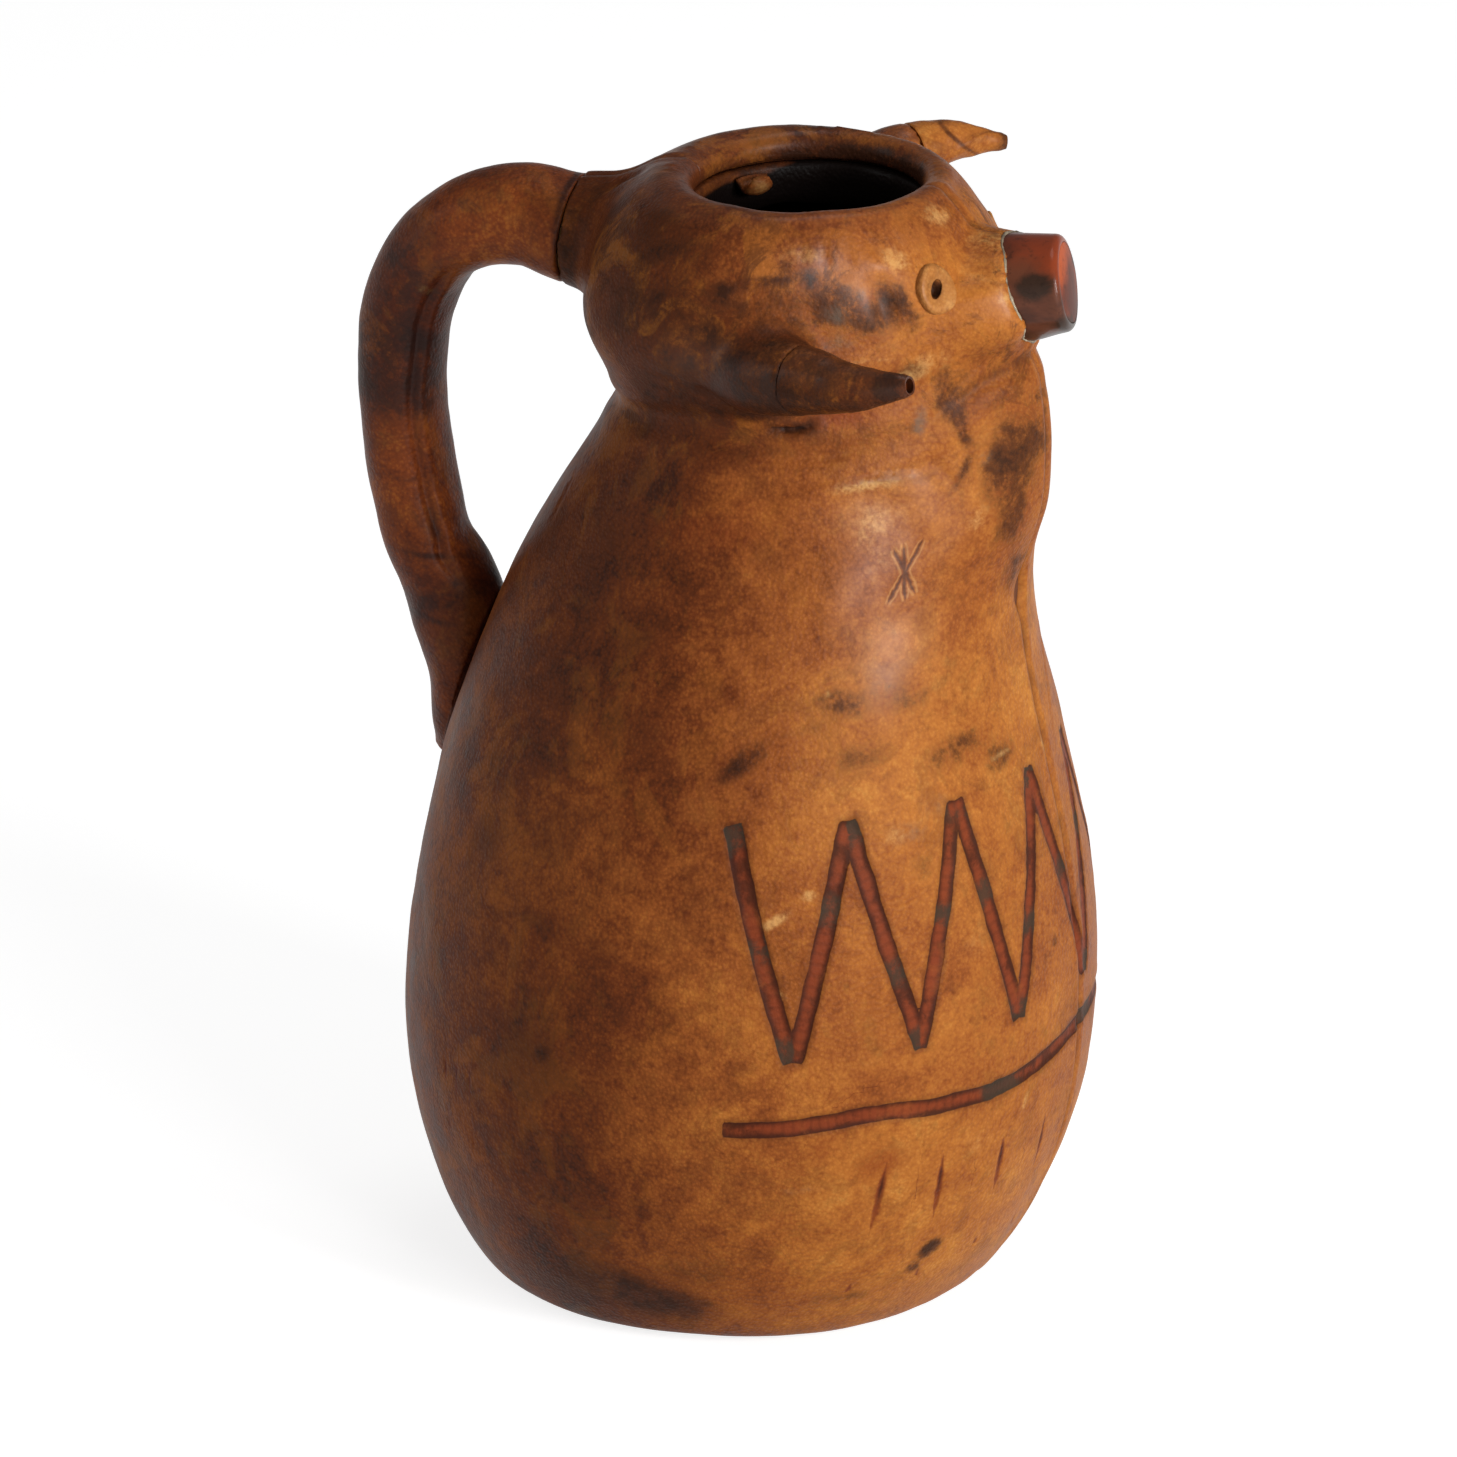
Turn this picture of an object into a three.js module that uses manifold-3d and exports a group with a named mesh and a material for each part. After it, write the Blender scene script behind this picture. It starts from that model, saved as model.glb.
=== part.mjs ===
// Wet-formed leather pitcher in the shape of a bull, millimetres, +Z up.
// +X is the bull's front (snout), +Y its left side, the table is z = 0.
import * as THREE from 'three';
import { mergeVertices } from 'three/addons/utils/BufferGeometryUtils.js';
import Module from 'manifold-3d';

const wasm = await Module();
wasm.setup();

// Clearances and leather thicknesses
const gap = 0.3;            // between any two pieces that lie against each other
const wall = 3.0;           // leather of the two half shells
const liningThick = 1.0;    // pitch lining
const stripThick = 1.3;     // backing strips behind the front and back seams
const stripHalfWidth = 6.7;
const shellLift = 0.5;      // the sole stands this much below the turned-in heel
const soleThick = 3.8;
const soleRadius = 51.7;
const innerDiscThick = 3.0;
const collarThick = 2.0;
const collarSet = 1.1;      // collar's upper edge below the rim
const collarHeight = 19.4;
const flangeDepth = 13.5;   // turned-in edge of the mouth, down from the rim
const liningDrop = 2.0;     // lining stops this much below the collar
const hornLeather = 2.6;    // leather of the horn bases, formed in the shells
const wrapThick = 2.0;      // leather wrapped round the handle and the horn tips
const around = 28;          // divisions round the body
const perStation = 2;       // rings from one station to the next, on the body and on tubes

// Stations of the outer form from the base to the rim. Each section lies in a plane
// that leans forward from zBack to zFront; pinch narrows its front to a throat or nose.
const stations = [
  { zBack: 0, zFront: 0, xBack: -64, xFront: 60.5, half: 63, pinch: 0 },            // base
  { zBack: 5, zFront: 5, xBack: -71.3, xFront: 68.3, half: 70.3, pinch: 0 },        // heel
  { zBack: 24, zFront: 24, xBack: -81, xFront: 80.4, half: 80.5, pinch: 0 },
  { zBack: 52, zFront: 52, xBack: -88, xFront: 90, half: 88, pinch: 0 },
  { zBack: 84, zFront: 84, xBack: -88.3, xFront: 92.8, half: 90.5, pinch: 0 },      // belly
  { zBack: 116, zFront: 116, xBack: -83.8, xFront: 89.5, half: 87.5, pinch: 0 },
  { zBack: 148, zFront: 148, xBack: -76, xFront: 83.5, half: 80, pinch: 0 },
  { zBack: 176, zFront: 176, xBack: -66, xFront: 77.1, half: 70, pinch: 0.05 },
  { zBack: 196, zFront: 199, xBack: -57.4, xFront: 76.3, half: 61, pinch: 0.15 },   // chest notch
  { zBack: 213, zFront: 219, xBack: -48, xFront: 81.7, half: 55, pinch: 0.35 },
  { zBack: 229, zFront: 243, xBack: -38.2, xFront: 82, half: 50, pinch: 0.5 },      // throat
  { zBack: 240, zFront: 260, xBack: -32.5, xFront: 78, half: 47, pinch: 0.5 },      // neck crease
  { zBack: 249, zFront: 267, xBack: -34, xFront: 76, half: 53, pinch: 0.5 },
  { zBack: 264, zFront: 275, xBack: -40, xFront: 73, half: 56, pinch: 0.5 },        // cheeks
  { zBack: 281, zFront: 286, xBack: -38, xFront: 66.5, half: 52, pinch: 0.35 },     // brow
  { zBack: 295.5, zFront: 295.5, xBack: -30, xFront: 58, half: 44.5, pinch: 0.1 },
  { zBack: 301.5, zFront: 301.5, xBack: -19.5, xFront: 52, half: 37.5, pinch: 0 },  // rim
];
const noseStrength = 0.62;   // how far a full pinch narrows the front
const centreShift = 0.18;    // how far a full pinch moves the widest point back

const rimZ = stations[stations.length - 1].zFront;
const collarTop = rimZ - collarSet;
const collarBottom = collarTop - collarHeight;
const neckFlangeBottom = rimZ - flangeDepth;
const liningTop = collarBottom - liningDrop;

// Mouth opening, an upright oval
const mouth = { x: 17, rx: 32.5, ry: 35 };

// Handle centre line in the median plane, from inside the head to its foot:
// half thickness in the plane of the line, half width across it.
const handlePath = [
  { x: -20, z: 276.3, thick: 21, width: 21 },
  { x: -34, z: 276.9, thick: 17.6, width: 17.5 },
  { x: -46.3, z: 277.6, thick: 14.9, width: 15 },       // joint with the head
  { x: -60, z: 279.8, thick: 13.5, width: 13.6 },
  { x: -74, z: 276.6, thick: 12.4, width: 12.6 },
  { x: -86, z: 267.4, thick: 11.8, width: 12.2 },
  { x: -92.9, z: 253.4, thick: 11.4, width: 12 },
  { x: -95.1, z: 235, thick: 11.2, width: 12 },
  { x: -94, z: 212.5, thick: 11.3, width: 12 },
  { x: -90.6, z: 196, thick: 10.9, width: 12.2 },
  { x: -87.5, z: 186, thick: 11, width: 12.4 },
  { x: -82.8, z: 177, thick: 12.4, width: 12.8 },       // web above the body
  { x: -79.2, z: 168, thick: 12.8, width: 13.2 },
  { x: -77.4, z: 158, thick: 11.6, width: 13.2 },
  { x: -77.4, z: 148, thick: 9.6, width: 12.5 },
  { x: -78, z: 138, thick: 8.2, width: 11 },
  { x: -79.4, z: 131.5, thick: 7, width: 8.5 },         // tongue end
];
const handleJoint = 2;       // station of the joint with the head
const handlePeg = 8;         // handle core length inside the head
const coreEnd = 13;          // the stuffed core stops here, the cover runs on as a tongue

// Horns: centre line from inside the head to the cut tip, with radii
const horns = {
  right: [
    { x: 14, y: -42, z: 262.5, r: 14.5 },
    { x: 23, y: -51, z: 264, r: 12 },
    { x: 36.5, y: -59, z: 265.5, r: 9 },
    { x: 52, y: -65, z: 267, r: 6.1 },
    { x: 68.4, y: -68, z: 270.7, r: 2.8 },
  ],
  left: [
    { x: 10, y: 38, z: 281, r: 14 },
    { x: 19, y: 48, z: 286.5, r: 10 },
    { x: 26, y: 56.5, z: 289.6, r: 7.4 },
    { x: 35, y: 65, z: 290.8, r: 5.1 },
    { x: 46.1, y: 72, z: 289.2, r: 2.3 },
  ],
};
const hornJoint = 2;         // station of the joint between formed base and wrapped tip
const pegIn = 7;             // horn core length inside the base
const pegOut = 12;           // and inside the tip

// Snout: lacquered sleeve over a plug, closed with a disc
const snout = {
  root: { x: 64, z: 274 }, face: { x: 86.3, z: 278.2 },
  rRoot: 14.6, rFace: 12.4, wall: 2.2, discThick: 2.4,
};

// Open stretch of the front seam
const seamOpening = { z: 194, halfHeight: 7.5, halfWidth: 0.9 };

// Eyes: place on the form (station and angle round the section), leather ring and its hole
const eye = {
  station: 13.6, angle: -33 * Math.PI / 180, radius: 6.3, thick: 1.6,
  holeHalfWidth: 1.9, holeHalfHeight: 3.1, holeTurn: 0.45, holeDepth: 1.8,
};

// Curled tab at the lower edge of the collar, at an angle round the mouth. Each row gives its
// distance from the mouth's centre as a share of the collar's, its height above the edge,
// its half thickness and its half width.
const tabAngle = 142.5 * Math.PI / 180;
const collarTab = [
  { share: 1.115, rise: 6, thick: 1.2, width: 5 },
  { share: 1.07, rise: 1, thick: 1.3, width: 5 },
  { share: 0.957, rise: -2.4, thick: 1.4, width: 4.6 },
  { share: 0.85, rise: -0.5, thick: 1.2, width: 3.6 },
].map(({ share, rise, thick, width }) => ({
  x: mouth.x + (mouth.rx - gap - collarThick / 2) * share * Math.cos(tabAngle),
  y: (mouth.ry - gap - collarThick / 2) * share * Math.sin(tabAngle),
  z: collarBottom + rise, thick, width,
}));

function catmull(rows, u) {
  const last = rows.length - 1;
  const i = Math.min(Math.floor(u), last - 1);
  const t = u - i;
  const out = {};
  for (const key of Object.keys(rows[0])) {
    const b = rows[i][key];
    const c = rows[i + 1][key];
    const a = i > 0 ? rows[i - 1][key] : 2 * b - c;
    const d = i + 2 <= last ? rows[i + 2][key] : 2 * c - b;
    out[key] = 0.5 * (2 * b + (c - a) * t + (2 * a - 5 * b + 4 * c - d) * t * t
      + (3 * b - a - 3 * c + d) * t * t * t);
  }
  return out;
}

function formPoint(u, angle) {
  const s = catmull(stations, u);
  const span = s.xFront - s.xBack;
  const centre = s.xBack + span * (0.5 - centreShift * s.pinch);
  const cos = Math.cos(angle);
  const front = Math.max(cos, 0);
  const x = centre + (cos > 0 ? s.xFront - centre : centre - s.xBack) * cos;
  const y = s.half * Math.sin(angle) * (1 - noseStrength * s.pinch * Math.pow(front, 1.5));
  const z = s.zBack + (s.zFront - s.zBack) * (x - s.xBack) / span;
  return new THREE.Vector3(x, y, z);
}

function formNormal(u, angle) {
  const step = 0.03;
  const lo = Math.max(u - step, 0);
  const hi = Math.min(u + step, stations.length - 1);
  const up = formPoint(hi, angle).sub(formPoint(lo, angle));
  const round = formPoint(u, angle + step).sub(formPoint(u, angle - step));
  return round.cross(up).normalize();
}

// A closed solid skinned over a row of rings, with flat ends
function skin(rings) {
  const count = rings[0].length;
  const points = rings.flat();
  const faces = [];
  for (let j = 0; j + 1 < rings.length; j++) {
    for (let k = 0; k < count; k++) {
      const a = j * count + k;
      const b = j * count + (k + 1) % count;
      faces.push(a, b, b + count, a, b + count, a + count);
    }
  }
  const centreOf = (ring) => ring.reduce((sum, p) => sum.add(p), new THREE.Vector3())
    .divideScalar(count);
  const first = points.push(centreOf(rings[0])) - 1;
  const last = points.push(centreOf(rings[rings.length - 1])) - 1;
  const top = (rings.length - 1) * count;
  for (let k = 0; k < count; k++) {
    const next = (k + 1) % count;
    faces.push(first, next, k, last, top + k, top + next);
  }
  return new wasm.Manifold(new wasm.Mesh({
    numProp: 3,
    vertProperties: new Float32Array(points.flatMap((p) => [p.x, p.y, p.z])),
    triVerts: new Uint32Array(faces),
  }));
}

// The outer form moved in by a distance; a negative distance moves it out
function form(inward) {
  const rings = [];
  const steps = (stations.length - 1) * perStation;
  for (let j = 0; j <= steps; j++) {
    const u = j / perStation;
    const ring = [];
    for (let k = 0; k < around; k++) {
      const angle = (k + 0.5) * 2 * Math.PI / around;
      ring.push(formPoint(u, angle).addScaledVector(formNormal(u, angle), -inward));
    }
    rings.push(ring);
  }
  return skin(rings);
}

function fromGeometry(geometry) {
  geometry.deleteAttribute('normal');
  geometry.deleteAttribute('uv');
  const welded = mergeVertices(geometry, 1e-4);
  return new wasm.Manifold(new wasm.Mesh({
    numProp: 3,
    vertProperties: new Float32Array(welded.attributes.position.array),
    triVerts: new Uint32Array(welded.index.array),
  }));
}

function block(x0, x1, y0, y1, z0, z1) {
  const geometry = new THREE.BoxGeometry(x1 - x0, y1 - y0, z1 - z0);
  geometry.translate((x0 + x1) / 2, (y0 + y1) / 2, (z0 + z1) / 2);
  return fromGeometry(geometry);
}

const far = 200;   // beyond every part of the object
const under = -20; // below the table
const above = 340; // above the rim

function slab(z0, z1) {
  return block(-far, far, -far, far, z0, z1);
}

// An upright oval column
function column(x, rx, ry, z0, z1, sides = 32) {
  const ring = (z) => Array.from({ length: sides }, (_, k) => {
    const angle = k * 2 * Math.PI / sides;
    return new THREE.Vector3(x + rx * Math.cos(angle), ry * Math.sin(angle), z);
  });
  return skin([ring(z0), ring(z1)]);
}

// A tube of oval sections square to a centre line; side is the direction of its width.
// Its rings stand at the same stations whatever its ends, so nested tubes keep their distance.
function sweep(rows, from, to, sides, shrink, side) {
  const at = (u) => {
    const r = catmull(rows, u);
    return new THREE.Vector3(r.x, r.y ?? 0, r.z);
  };
  const places = [from];
  for (let j = Math.floor(from * perStation) + 1; j < to * perStation; j++) {
    if (j / perStation - from > 0.1 && to - j / perStation > 0.1) places.push(j / perStation);
  }
  places.push(to);
  const rings = places.map((u) => {
    const row = catmull(rows, u);
    const step = 0.05;
    const lo = Math.max(u - step, 0);
    const hi = Math.min(u + step, rows.length - 1);
    const along = at(hi).sub(at(lo)).normalize();
    const across = side.clone().addScaledVector(along, -side.dot(along)).normalize();
    const normal = along.clone().cross(across);
    const half = (row.thick ?? row.r) - shrink;
    const width = (row.width ?? row.r) - shrink;
    return Array.from({ length: sides }, (_, k) => {
      const angle = (k + 0.5) * 2 * Math.PI / sides;
      return at(u).addScaledVector(across, width * Math.cos(angle))
        .addScaledVector(normal, half * Math.sin(angle));
    });
  });
  return skin(rings);
}

const acrossY = new THREE.Vector3(0, 1, 0);
const upZ = new THREE.Vector3(0, 0, 1);

// Distance along a row of stations turned into a station number near a joint
function shifted(rows, station, distance) {
  const a = catmull(rows, station);
  const b = catmull(rows, station + 0.1);
  const length = Math.hypot(b.x - a.x, (b.y ?? 0) - (a.y ?? 0), b.z - a.z);
  return station + distance * 0.1 / length;
}

const outer = form(0);
const grown = form(-gap);
const inner = form(wall);

const floorTop = shellLift + wall + gap;    // underside of the inner disc
const liningFloor = floorTop + innerDiscThick + gap;

// Head end of the handle, formed in the shells, and the pocket for the handle core
const stubEnd = shifted(handlePath, handleJoint, -gap / 2);
const coverStart = shifted(handlePath, handleJoint, gap / 2);
const pocketStart = shifted(handlePath, handleJoint, -handlePeg);
const coreStart = shifted(handlePath, handleJoint, gap - handlePeg);
const handleSides = 16;
const handleStub = sweep(handlePath, 0, stubEnd, handleSides, 0, acrossY);
const handlePocket = sweep(handlePath, pocketStart, handleJoint, handleSides, wrapThick, acrossY);

// Horn bases formed in the shells, with a pocket for each horn core
const hornSides = 12;
function hornParts(rows) {
  const baseEnd = shifted(rows, hornJoint, -gap / 2);
  const tipStart = shifted(rows, hornJoint, gap / 2);
  const inEnd = shifted(rows, hornJoint, -pegIn);
  const outEnd = shifted(rows, hornJoint, pegOut);
  const last = rows.length - 1;
  const tube = (from, to, shrink) => sweep(rows, from, to, hornSides, shrink, upZ);
  return {
    base: tube(0, baseEnd, 0),
    pocket: tube(inEnd, hornJoint, hornLeather),
    tip: tube(tipStart, last, 0).subtract(tube(hornJoint, outEnd, wrapThick)),
    core: tube(shifted(rows, hornJoint, gap - pegIn), shifted(rows, hornJoint, pegOut - gap),
      Math.max(hornLeather, wrapThick) + gap),
  };
}
const hornRight = hornParts(horns.right);
const hornLeft = hornParts(horns.left);

// Snout tubes between two points of its axis, as fractions from root to face
const snoutSides = 22;
function snoutTube(from, to, shrink) {
  const ring = (t) => {
    const x = snout.root.x + (snout.face.x - snout.root.x) * t;
    const z = snout.root.z + (snout.face.z - snout.root.z) * t;
    const r = snout.rRoot + (snout.rFace - snout.rRoot) * t - shrink;
    const axis = new THREE.Vector3(snout.face.x - snout.root.x, 0,
      snout.face.z - snout.root.z).normalize();
    const normal = axis.clone().cross(acrossY);
    return Array.from({ length: snoutSides }, (_, k) => {
      const angle = k * 2 * Math.PI / snoutSides;
      return new THREE.Vector3(x, 0, z).addScaledVector(acrossY, r * Math.cos(angle))
        .addScaledVector(normal, r * Math.sin(angle));
    });
  };
  return skin([ring(from), ring(to)]);
}
const snoutLength = Math.hypot(snout.face.x - snout.root.x, snout.face.z - snout.root.z);
const discDepth = snout.discThick / snoutLength;
const snoutGap = gap / snoutLength;

// Cavity of the vessel: belly, head and mouth, less the turned-in edge of the mouth
const neckFlange = column(mouth.x, mouth.rx + wall, mouth.ry + wall, neckFlangeBottom, above);
const mouthHole = column(mouth.x, mouth.rx, mouth.ry, neckFlangeBottom - wall, above);
const cavity = inner.intersect(slab(shellLift + wall, above)).subtract(neckFlange).add(mouthHole)
  .add(column(0, soleRadius + gap, soleRadius + gap, under, soleThick + gap));

// Backing strips let into the inside of the seams, front and back
const stripSpan = {
  bottom: liningFloor + 6, frontTop: 262, backTop: 250,
  frontFrom: 20, backTo: -10,   // keep each strip on its own side of the vessel
};
function seamBand(inward, halfWidth, extra, front) {
  const top = front ? stripSpan.frontTop : stripSpan.backTop;
  const x0 = front ? stripSpan.frontFrom : -far;
  const x1 = front ? far : stripSpan.backTo;
  return form(inward).intersect(
    block(x0, x1, -halfWidth, halfWidth, stripSpan.bottom - extra, top + extra));
}
const grooveDepth = stripThick + gap;
const grooves = seamBand(wall - grooveDepth, stripHalfWidth + gap, gap, true)
  .add(seamBand(wall - grooveDepth, stripHalfWidth + gap, gap, false));
const stripFront = seamBand(wall - stripThick, stripHalfWidth, 0, true).subtract(inner);
const stripBack = seamBand(wall - stripThick, stripHalfWidth, 0, false).subtract(inner);

// Short open stretch of the front seam, a slit pointed at both ends
const slitShape = new THREE.Shape();
slitShape.moveTo(0, -seamOpening.halfHeight);
slitShape.quadraticCurveTo(2 * seamOpening.halfWidth, 0, 0, seamOpening.halfHeight);
slitShape.quadraticCurveTo(-2 * seamOpening.halfWidth, 0, 0, -seamOpening.halfHeight);
const slitGeometry = new THREE.ExtrudeGeometry(slitShape,
  { depth: far, bevelEnabled: false, curveSegments: 8 });
slitGeometry.rotateX(Math.PI / 2);
slitGeometry.rotateZ(Math.PI / 2);
slitGeometry.translate(mouth.x, 0, seamOpening.z);
const slit = fromGeometry(slitGeometry);

// Eyes: leather rings that follow the head, over a small hollow in the shell
function eyeParts(mirror) {
  const at = formPoint(eye.station, eye.angle);
  const out = formNormal(eye.station, eye.angle);
  const across = out.clone().cross(upZ).normalize();
  const upward = across.clone().cross(out).normalize();
  const plug = (rx, rz, turn, depth, height, sides) => {
    const ring = (d) => Array.from({ length: sides }, (_, k) => {
      const angle = k * 2 * Math.PI / sides;
      const a = rx * Math.cos(angle);
      const b = rz * Math.sin(angle);
      const p = at.clone().addScaledVector(out, d)
        .addScaledVector(across, a * Math.cos(turn) - b * Math.sin(turn))
        .addScaledVector(upward, a * Math.sin(turn) + b * Math.cos(turn));
      return new THREE.Vector3(p.x, mirror * p.y, p.z);
    });
    const rings = [ring(-depth), ring(height)];
    if (mirror > 0) rings.forEach((r) => r.reverse());
    return skin(rings);
  };
  const reach = eye.radius;   // far enough through the curved leather
  const hole = plug(eye.holeHalfWidth, eye.holeHalfHeight, eye.holeTurn, eye.holeDepth, reach, 14);
  const ring = form(-gap - eye.thick).intersect(plug(eye.radius, eye.radius, 0, reach, reach, 22))
    .subtract(grown).subtract(hole);
  return { hole, ring };
}
const eyeRight = eyeParts(1);
const eyeLeft = eyeParts(-1);

const shells = outer.intersect(slab(shellLift, above))
  .add(handleStub).add(hornRight.base).add(hornLeft.base)
  .subtract(cavity).subtract(grooves).subtract(slit)
  .subtract(handlePocket).subtract(hornRight.pocket).subtract(hornLeft.pocket)
  .subtract(eyeRight.hole).subtract(eyeLeft.hole);

const liningOuter = form(wall + gap);
const innerDisc = liningOuter.intersect(slab(floorTop, floorTop + innerDiscThick));
const lining = liningOuter.intersect(slab(liningFloor, liningTop))
  .subtract(form(wall + gap + liningThick).intersect(slab(liningFloor + liningThick, above)));

const collarOuter = { rx: mouth.rx - gap, ry: mouth.ry - gap };
const tab = sweep(collarTab, 0, collarTab.length - 1, 10, 0,
  new THREE.Vector3(Math.sin(tabAngle), -Math.cos(tabAngle), 0));
const collar = column(mouth.x, collarOuter.rx, collarOuter.ry, collarBottom, collarTop)
  .subtract(column(mouth.x, collarOuter.rx - collarThick, collarOuter.ry - collarThick,
    under, above))
  .add(tab);

const lastHandle = handlePath.length - 1;
const handleCover = sweep(handlePath, coverStart, lastHandle, handleSides, 0, acrossY)
  .subtract(sweep(handlePath, handleJoint, coreEnd, handleSides, wrapThick, acrossY))
  .subtract(grown);
const handleCore = sweep(handlePath, coreStart, shifted(handlePath, coreEnd, -gap), handleSides,
  wrapThick + gap, acrossY)
  .subtract(grown.subtract(handlePocket));

const snoutSleeve = snoutTube(0, 1, 0).subtract(snoutTube(-0.1, 1.1, snout.wall)).subtract(grown);
const snoutDisc = snoutTube(1 - discDepth, 1, snout.wall + gap);
const snoutPlug = snoutTube(0, 1 - discDepth - snoutGap, snout.wall + gap).subtract(grown);

// Leather and lacquer colours
const tan = { color: 0x8d5326, roughness: 0.5, metalness: 0 };
const darkLeather = { color: 0x5a2f1a, roughness: 0.5, metalness: 0 };
const rawLeather = { color: 0x7a5230, roughness: 0.8, metalness: 0 };
const pitch = { color: 0x17100c, roughness: 0.35, metalness: 0 };
const lacquer = { color: 0x6a2412, roughness: 0.2, metalness: 0 };
const wood = { color: 0x9a7448, roughness: 0.75, metalness: 0 };

const object = new THREE.Group();
object.name = 'bull_leather_pitcher';

function addPiece(name, solid, finish) {
  const mesh = solid.getMesh();
  let geometry = new THREE.BufferGeometry();
  geometry.setAttribute('position', new THREE.BufferAttribute(
    new Float32Array(mesh.vertProperties), 3));
  geometry.setIndex(new THREE.BufferAttribute(new Uint32Array(mesh.triVerts), 1));
  geometry = mergeVertices(geometry, 1e-4);
  const piece = new THREE.Mesh(geometry, new THREE.MeshStandardMaterial(finish));
  piece.name = name;
  object.add(piece);
}

const rightSide = block(-far, far, -far, -gap / 2, under, above);
const leftSide = block(-far, far, gap / 2, far, under, above);
addPiece('shell_right_half', shells.intersect(rightSide), tan);
addPiece('shell_left_half', shells.intersect(leftSide), tan);
addPiece('seam_strip_front', stripFront, rawLeather);
addPiece('seam_strip_back', stripBack, rawLeather);
addPiece('base_sole', column(0, soleRadius, soleRadius, 0, soleThick), darkLeather);
addPiece('base_inner_disc', innerDisc, rawLeather);
addPiece('pitch_lining', lining, pitch);
addPiece('mouth_collar', collar, rawLeather);
addPiece('handle_cover', handleCover, darkLeather);
addPiece('handle_core', handleCore, wood);
addPiece('horn_tip_right', hornRight.tip, darkLeather);
addPiece('horn_core_right', hornRight.core, wood);
addPiece('horn_tip_left', hornLeft.tip, tan);
addPiece('horn_core_left', hornLeft.core, wood);
addPiece('eye_disc_right', eyeRight.ring, tan);
addPiece('eye_disc_left', eyeLeft.ring, tan);
addPiece('snout_sleeve', snoutSleeve, lacquer);
addPiece('snout_end_disc', snoutDisc, lacquer);
addPiece('snout_plug', snoutPlug, wood);

export default object;
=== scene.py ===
import math
from contextlib import contextmanager
import bmesh
import bpy
import numpy as np
from mathutils import Matrix, Vector
from mathutils.bvhtree import BVHTree
from mathutils.geometry import delaunay_2d_cdt
from mathutils.kdtree import KDTree


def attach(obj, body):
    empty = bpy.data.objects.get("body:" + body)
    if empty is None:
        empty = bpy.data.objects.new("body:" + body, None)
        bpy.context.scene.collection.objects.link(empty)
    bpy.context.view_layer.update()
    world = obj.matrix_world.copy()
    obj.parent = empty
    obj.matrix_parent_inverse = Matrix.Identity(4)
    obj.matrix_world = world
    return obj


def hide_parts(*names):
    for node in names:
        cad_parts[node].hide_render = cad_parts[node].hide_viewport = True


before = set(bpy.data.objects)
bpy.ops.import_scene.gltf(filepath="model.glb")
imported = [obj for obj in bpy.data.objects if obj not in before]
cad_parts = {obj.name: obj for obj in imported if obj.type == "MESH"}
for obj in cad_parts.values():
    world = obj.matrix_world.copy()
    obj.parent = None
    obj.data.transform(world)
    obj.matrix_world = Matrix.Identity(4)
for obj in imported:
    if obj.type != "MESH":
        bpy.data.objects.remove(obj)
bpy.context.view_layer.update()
mm = 0.001
print("frame loaded")

# Outer form of the vessel in mm, base to rim. Each section leans from zBack to zFront:
# zBack, zFront, xBack, xFront, half width, pinch of the front
form = {
    "rows": [
        (0, 0, -64, 60.5, 63, 0), (5, 5, -71.3, 68.3, 70.3, 0), (24, 24, -81, 80.4, 80.5, 0),
        (52, 52, -88, 90, 88, 0), (84, 84, -88.3, 92.8, 90.5, 0), (116, 116, -83.8, 89.5, 87.5, 0),
        (148, 148, -76, 83.5, 80, 0), (176, 176, -66, 77.1, 70, .05),
        (196, 199, -57.4, 76.3, 61, .15), (213, 219, -48, 81.7, 55, .35),
        (229, 243, -38.2, 82, 50, .5), (240, 260, -32.5, 78, 47, .5), (249, 267, -34, 76, 53, .5),
        (264, 275, -40, 73, 56, .5), (281, 286, -38, 66.5, 52, .35),
        (295.5, 295.5, -30, 58, 44.5, .1), (301.5, 301.5, -19.5, 52, 37.5, 0)],
    "nose": 0.62, "shift": 0.18, "wall": 3.0, "gap": 0.3,
    "mouthX": 17, "mouthRx": 32.5, "mouthRy": 35, "flangeBottom": 288, "rollFrom": 15.5,
}
lastStation = len(form["rows"]) - 1

# Handle centre line from inside the head to its foot, mm: x, z, half thickness, half width
handle = {
    "rows": [
        (-20, 276.3, 21, 21), (-34, 276.9, 17.6, 17.5), (-46.3, 277.6, 14.9, 15),
        (-60, 279.8, 13.5, 13.6), (-74, 276.6, 12.4, 12.6), (-86, 267.4, 11.8, 12.2),
        (-92.9, 253.4, 11.4, 12), (-95.1, 235, 11.2, 12), (-94, 212.5, 11.3, 12),
        (-90.6, 196, 10.9, 12.2), (-87.5, 186, 11, 12.4), (-82.8, 177, 12.4, 12.8),
        (-79.2, 168, 12.8, 13.2), (-77.4, 158, 11.6, 13.2), (-77.4, 148, 9.6, 12.5),
        (-78, 138, 8.2, 11), (-79.4, 131.5, 7, 8.5)],
    "joint": 2, "coreEnd": 13, "wrap": 2.0, "peg": 8,
}
# Horns: x, y, z, radius from inside the head to the cut tip
horns = {
    "right": [(14, -42, 262.5, 14.5), (23, -51, 264, 12), (36.5, -59, 265.5, 9),
              (52, -65, 267, 6.1), (68.4, -68, 270.7, 2.8)],
    "left": [(10, 38, 281, 14), (19, 48, 286.5, 10), (26, 56.5, 289.6, 7.4),
             (35, 65, 290.8, 5.1), (46.1, 72, 289.2, 2.3)],
    "joint": 2, "baseWall": 2.6, "wrap": 2.0, "pegIn": 7, "pegOut": 12,
}

snoutRoot, snoutFace = (64, 274), (86.3, 278.2)        # x, z of the snout's axis


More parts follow.
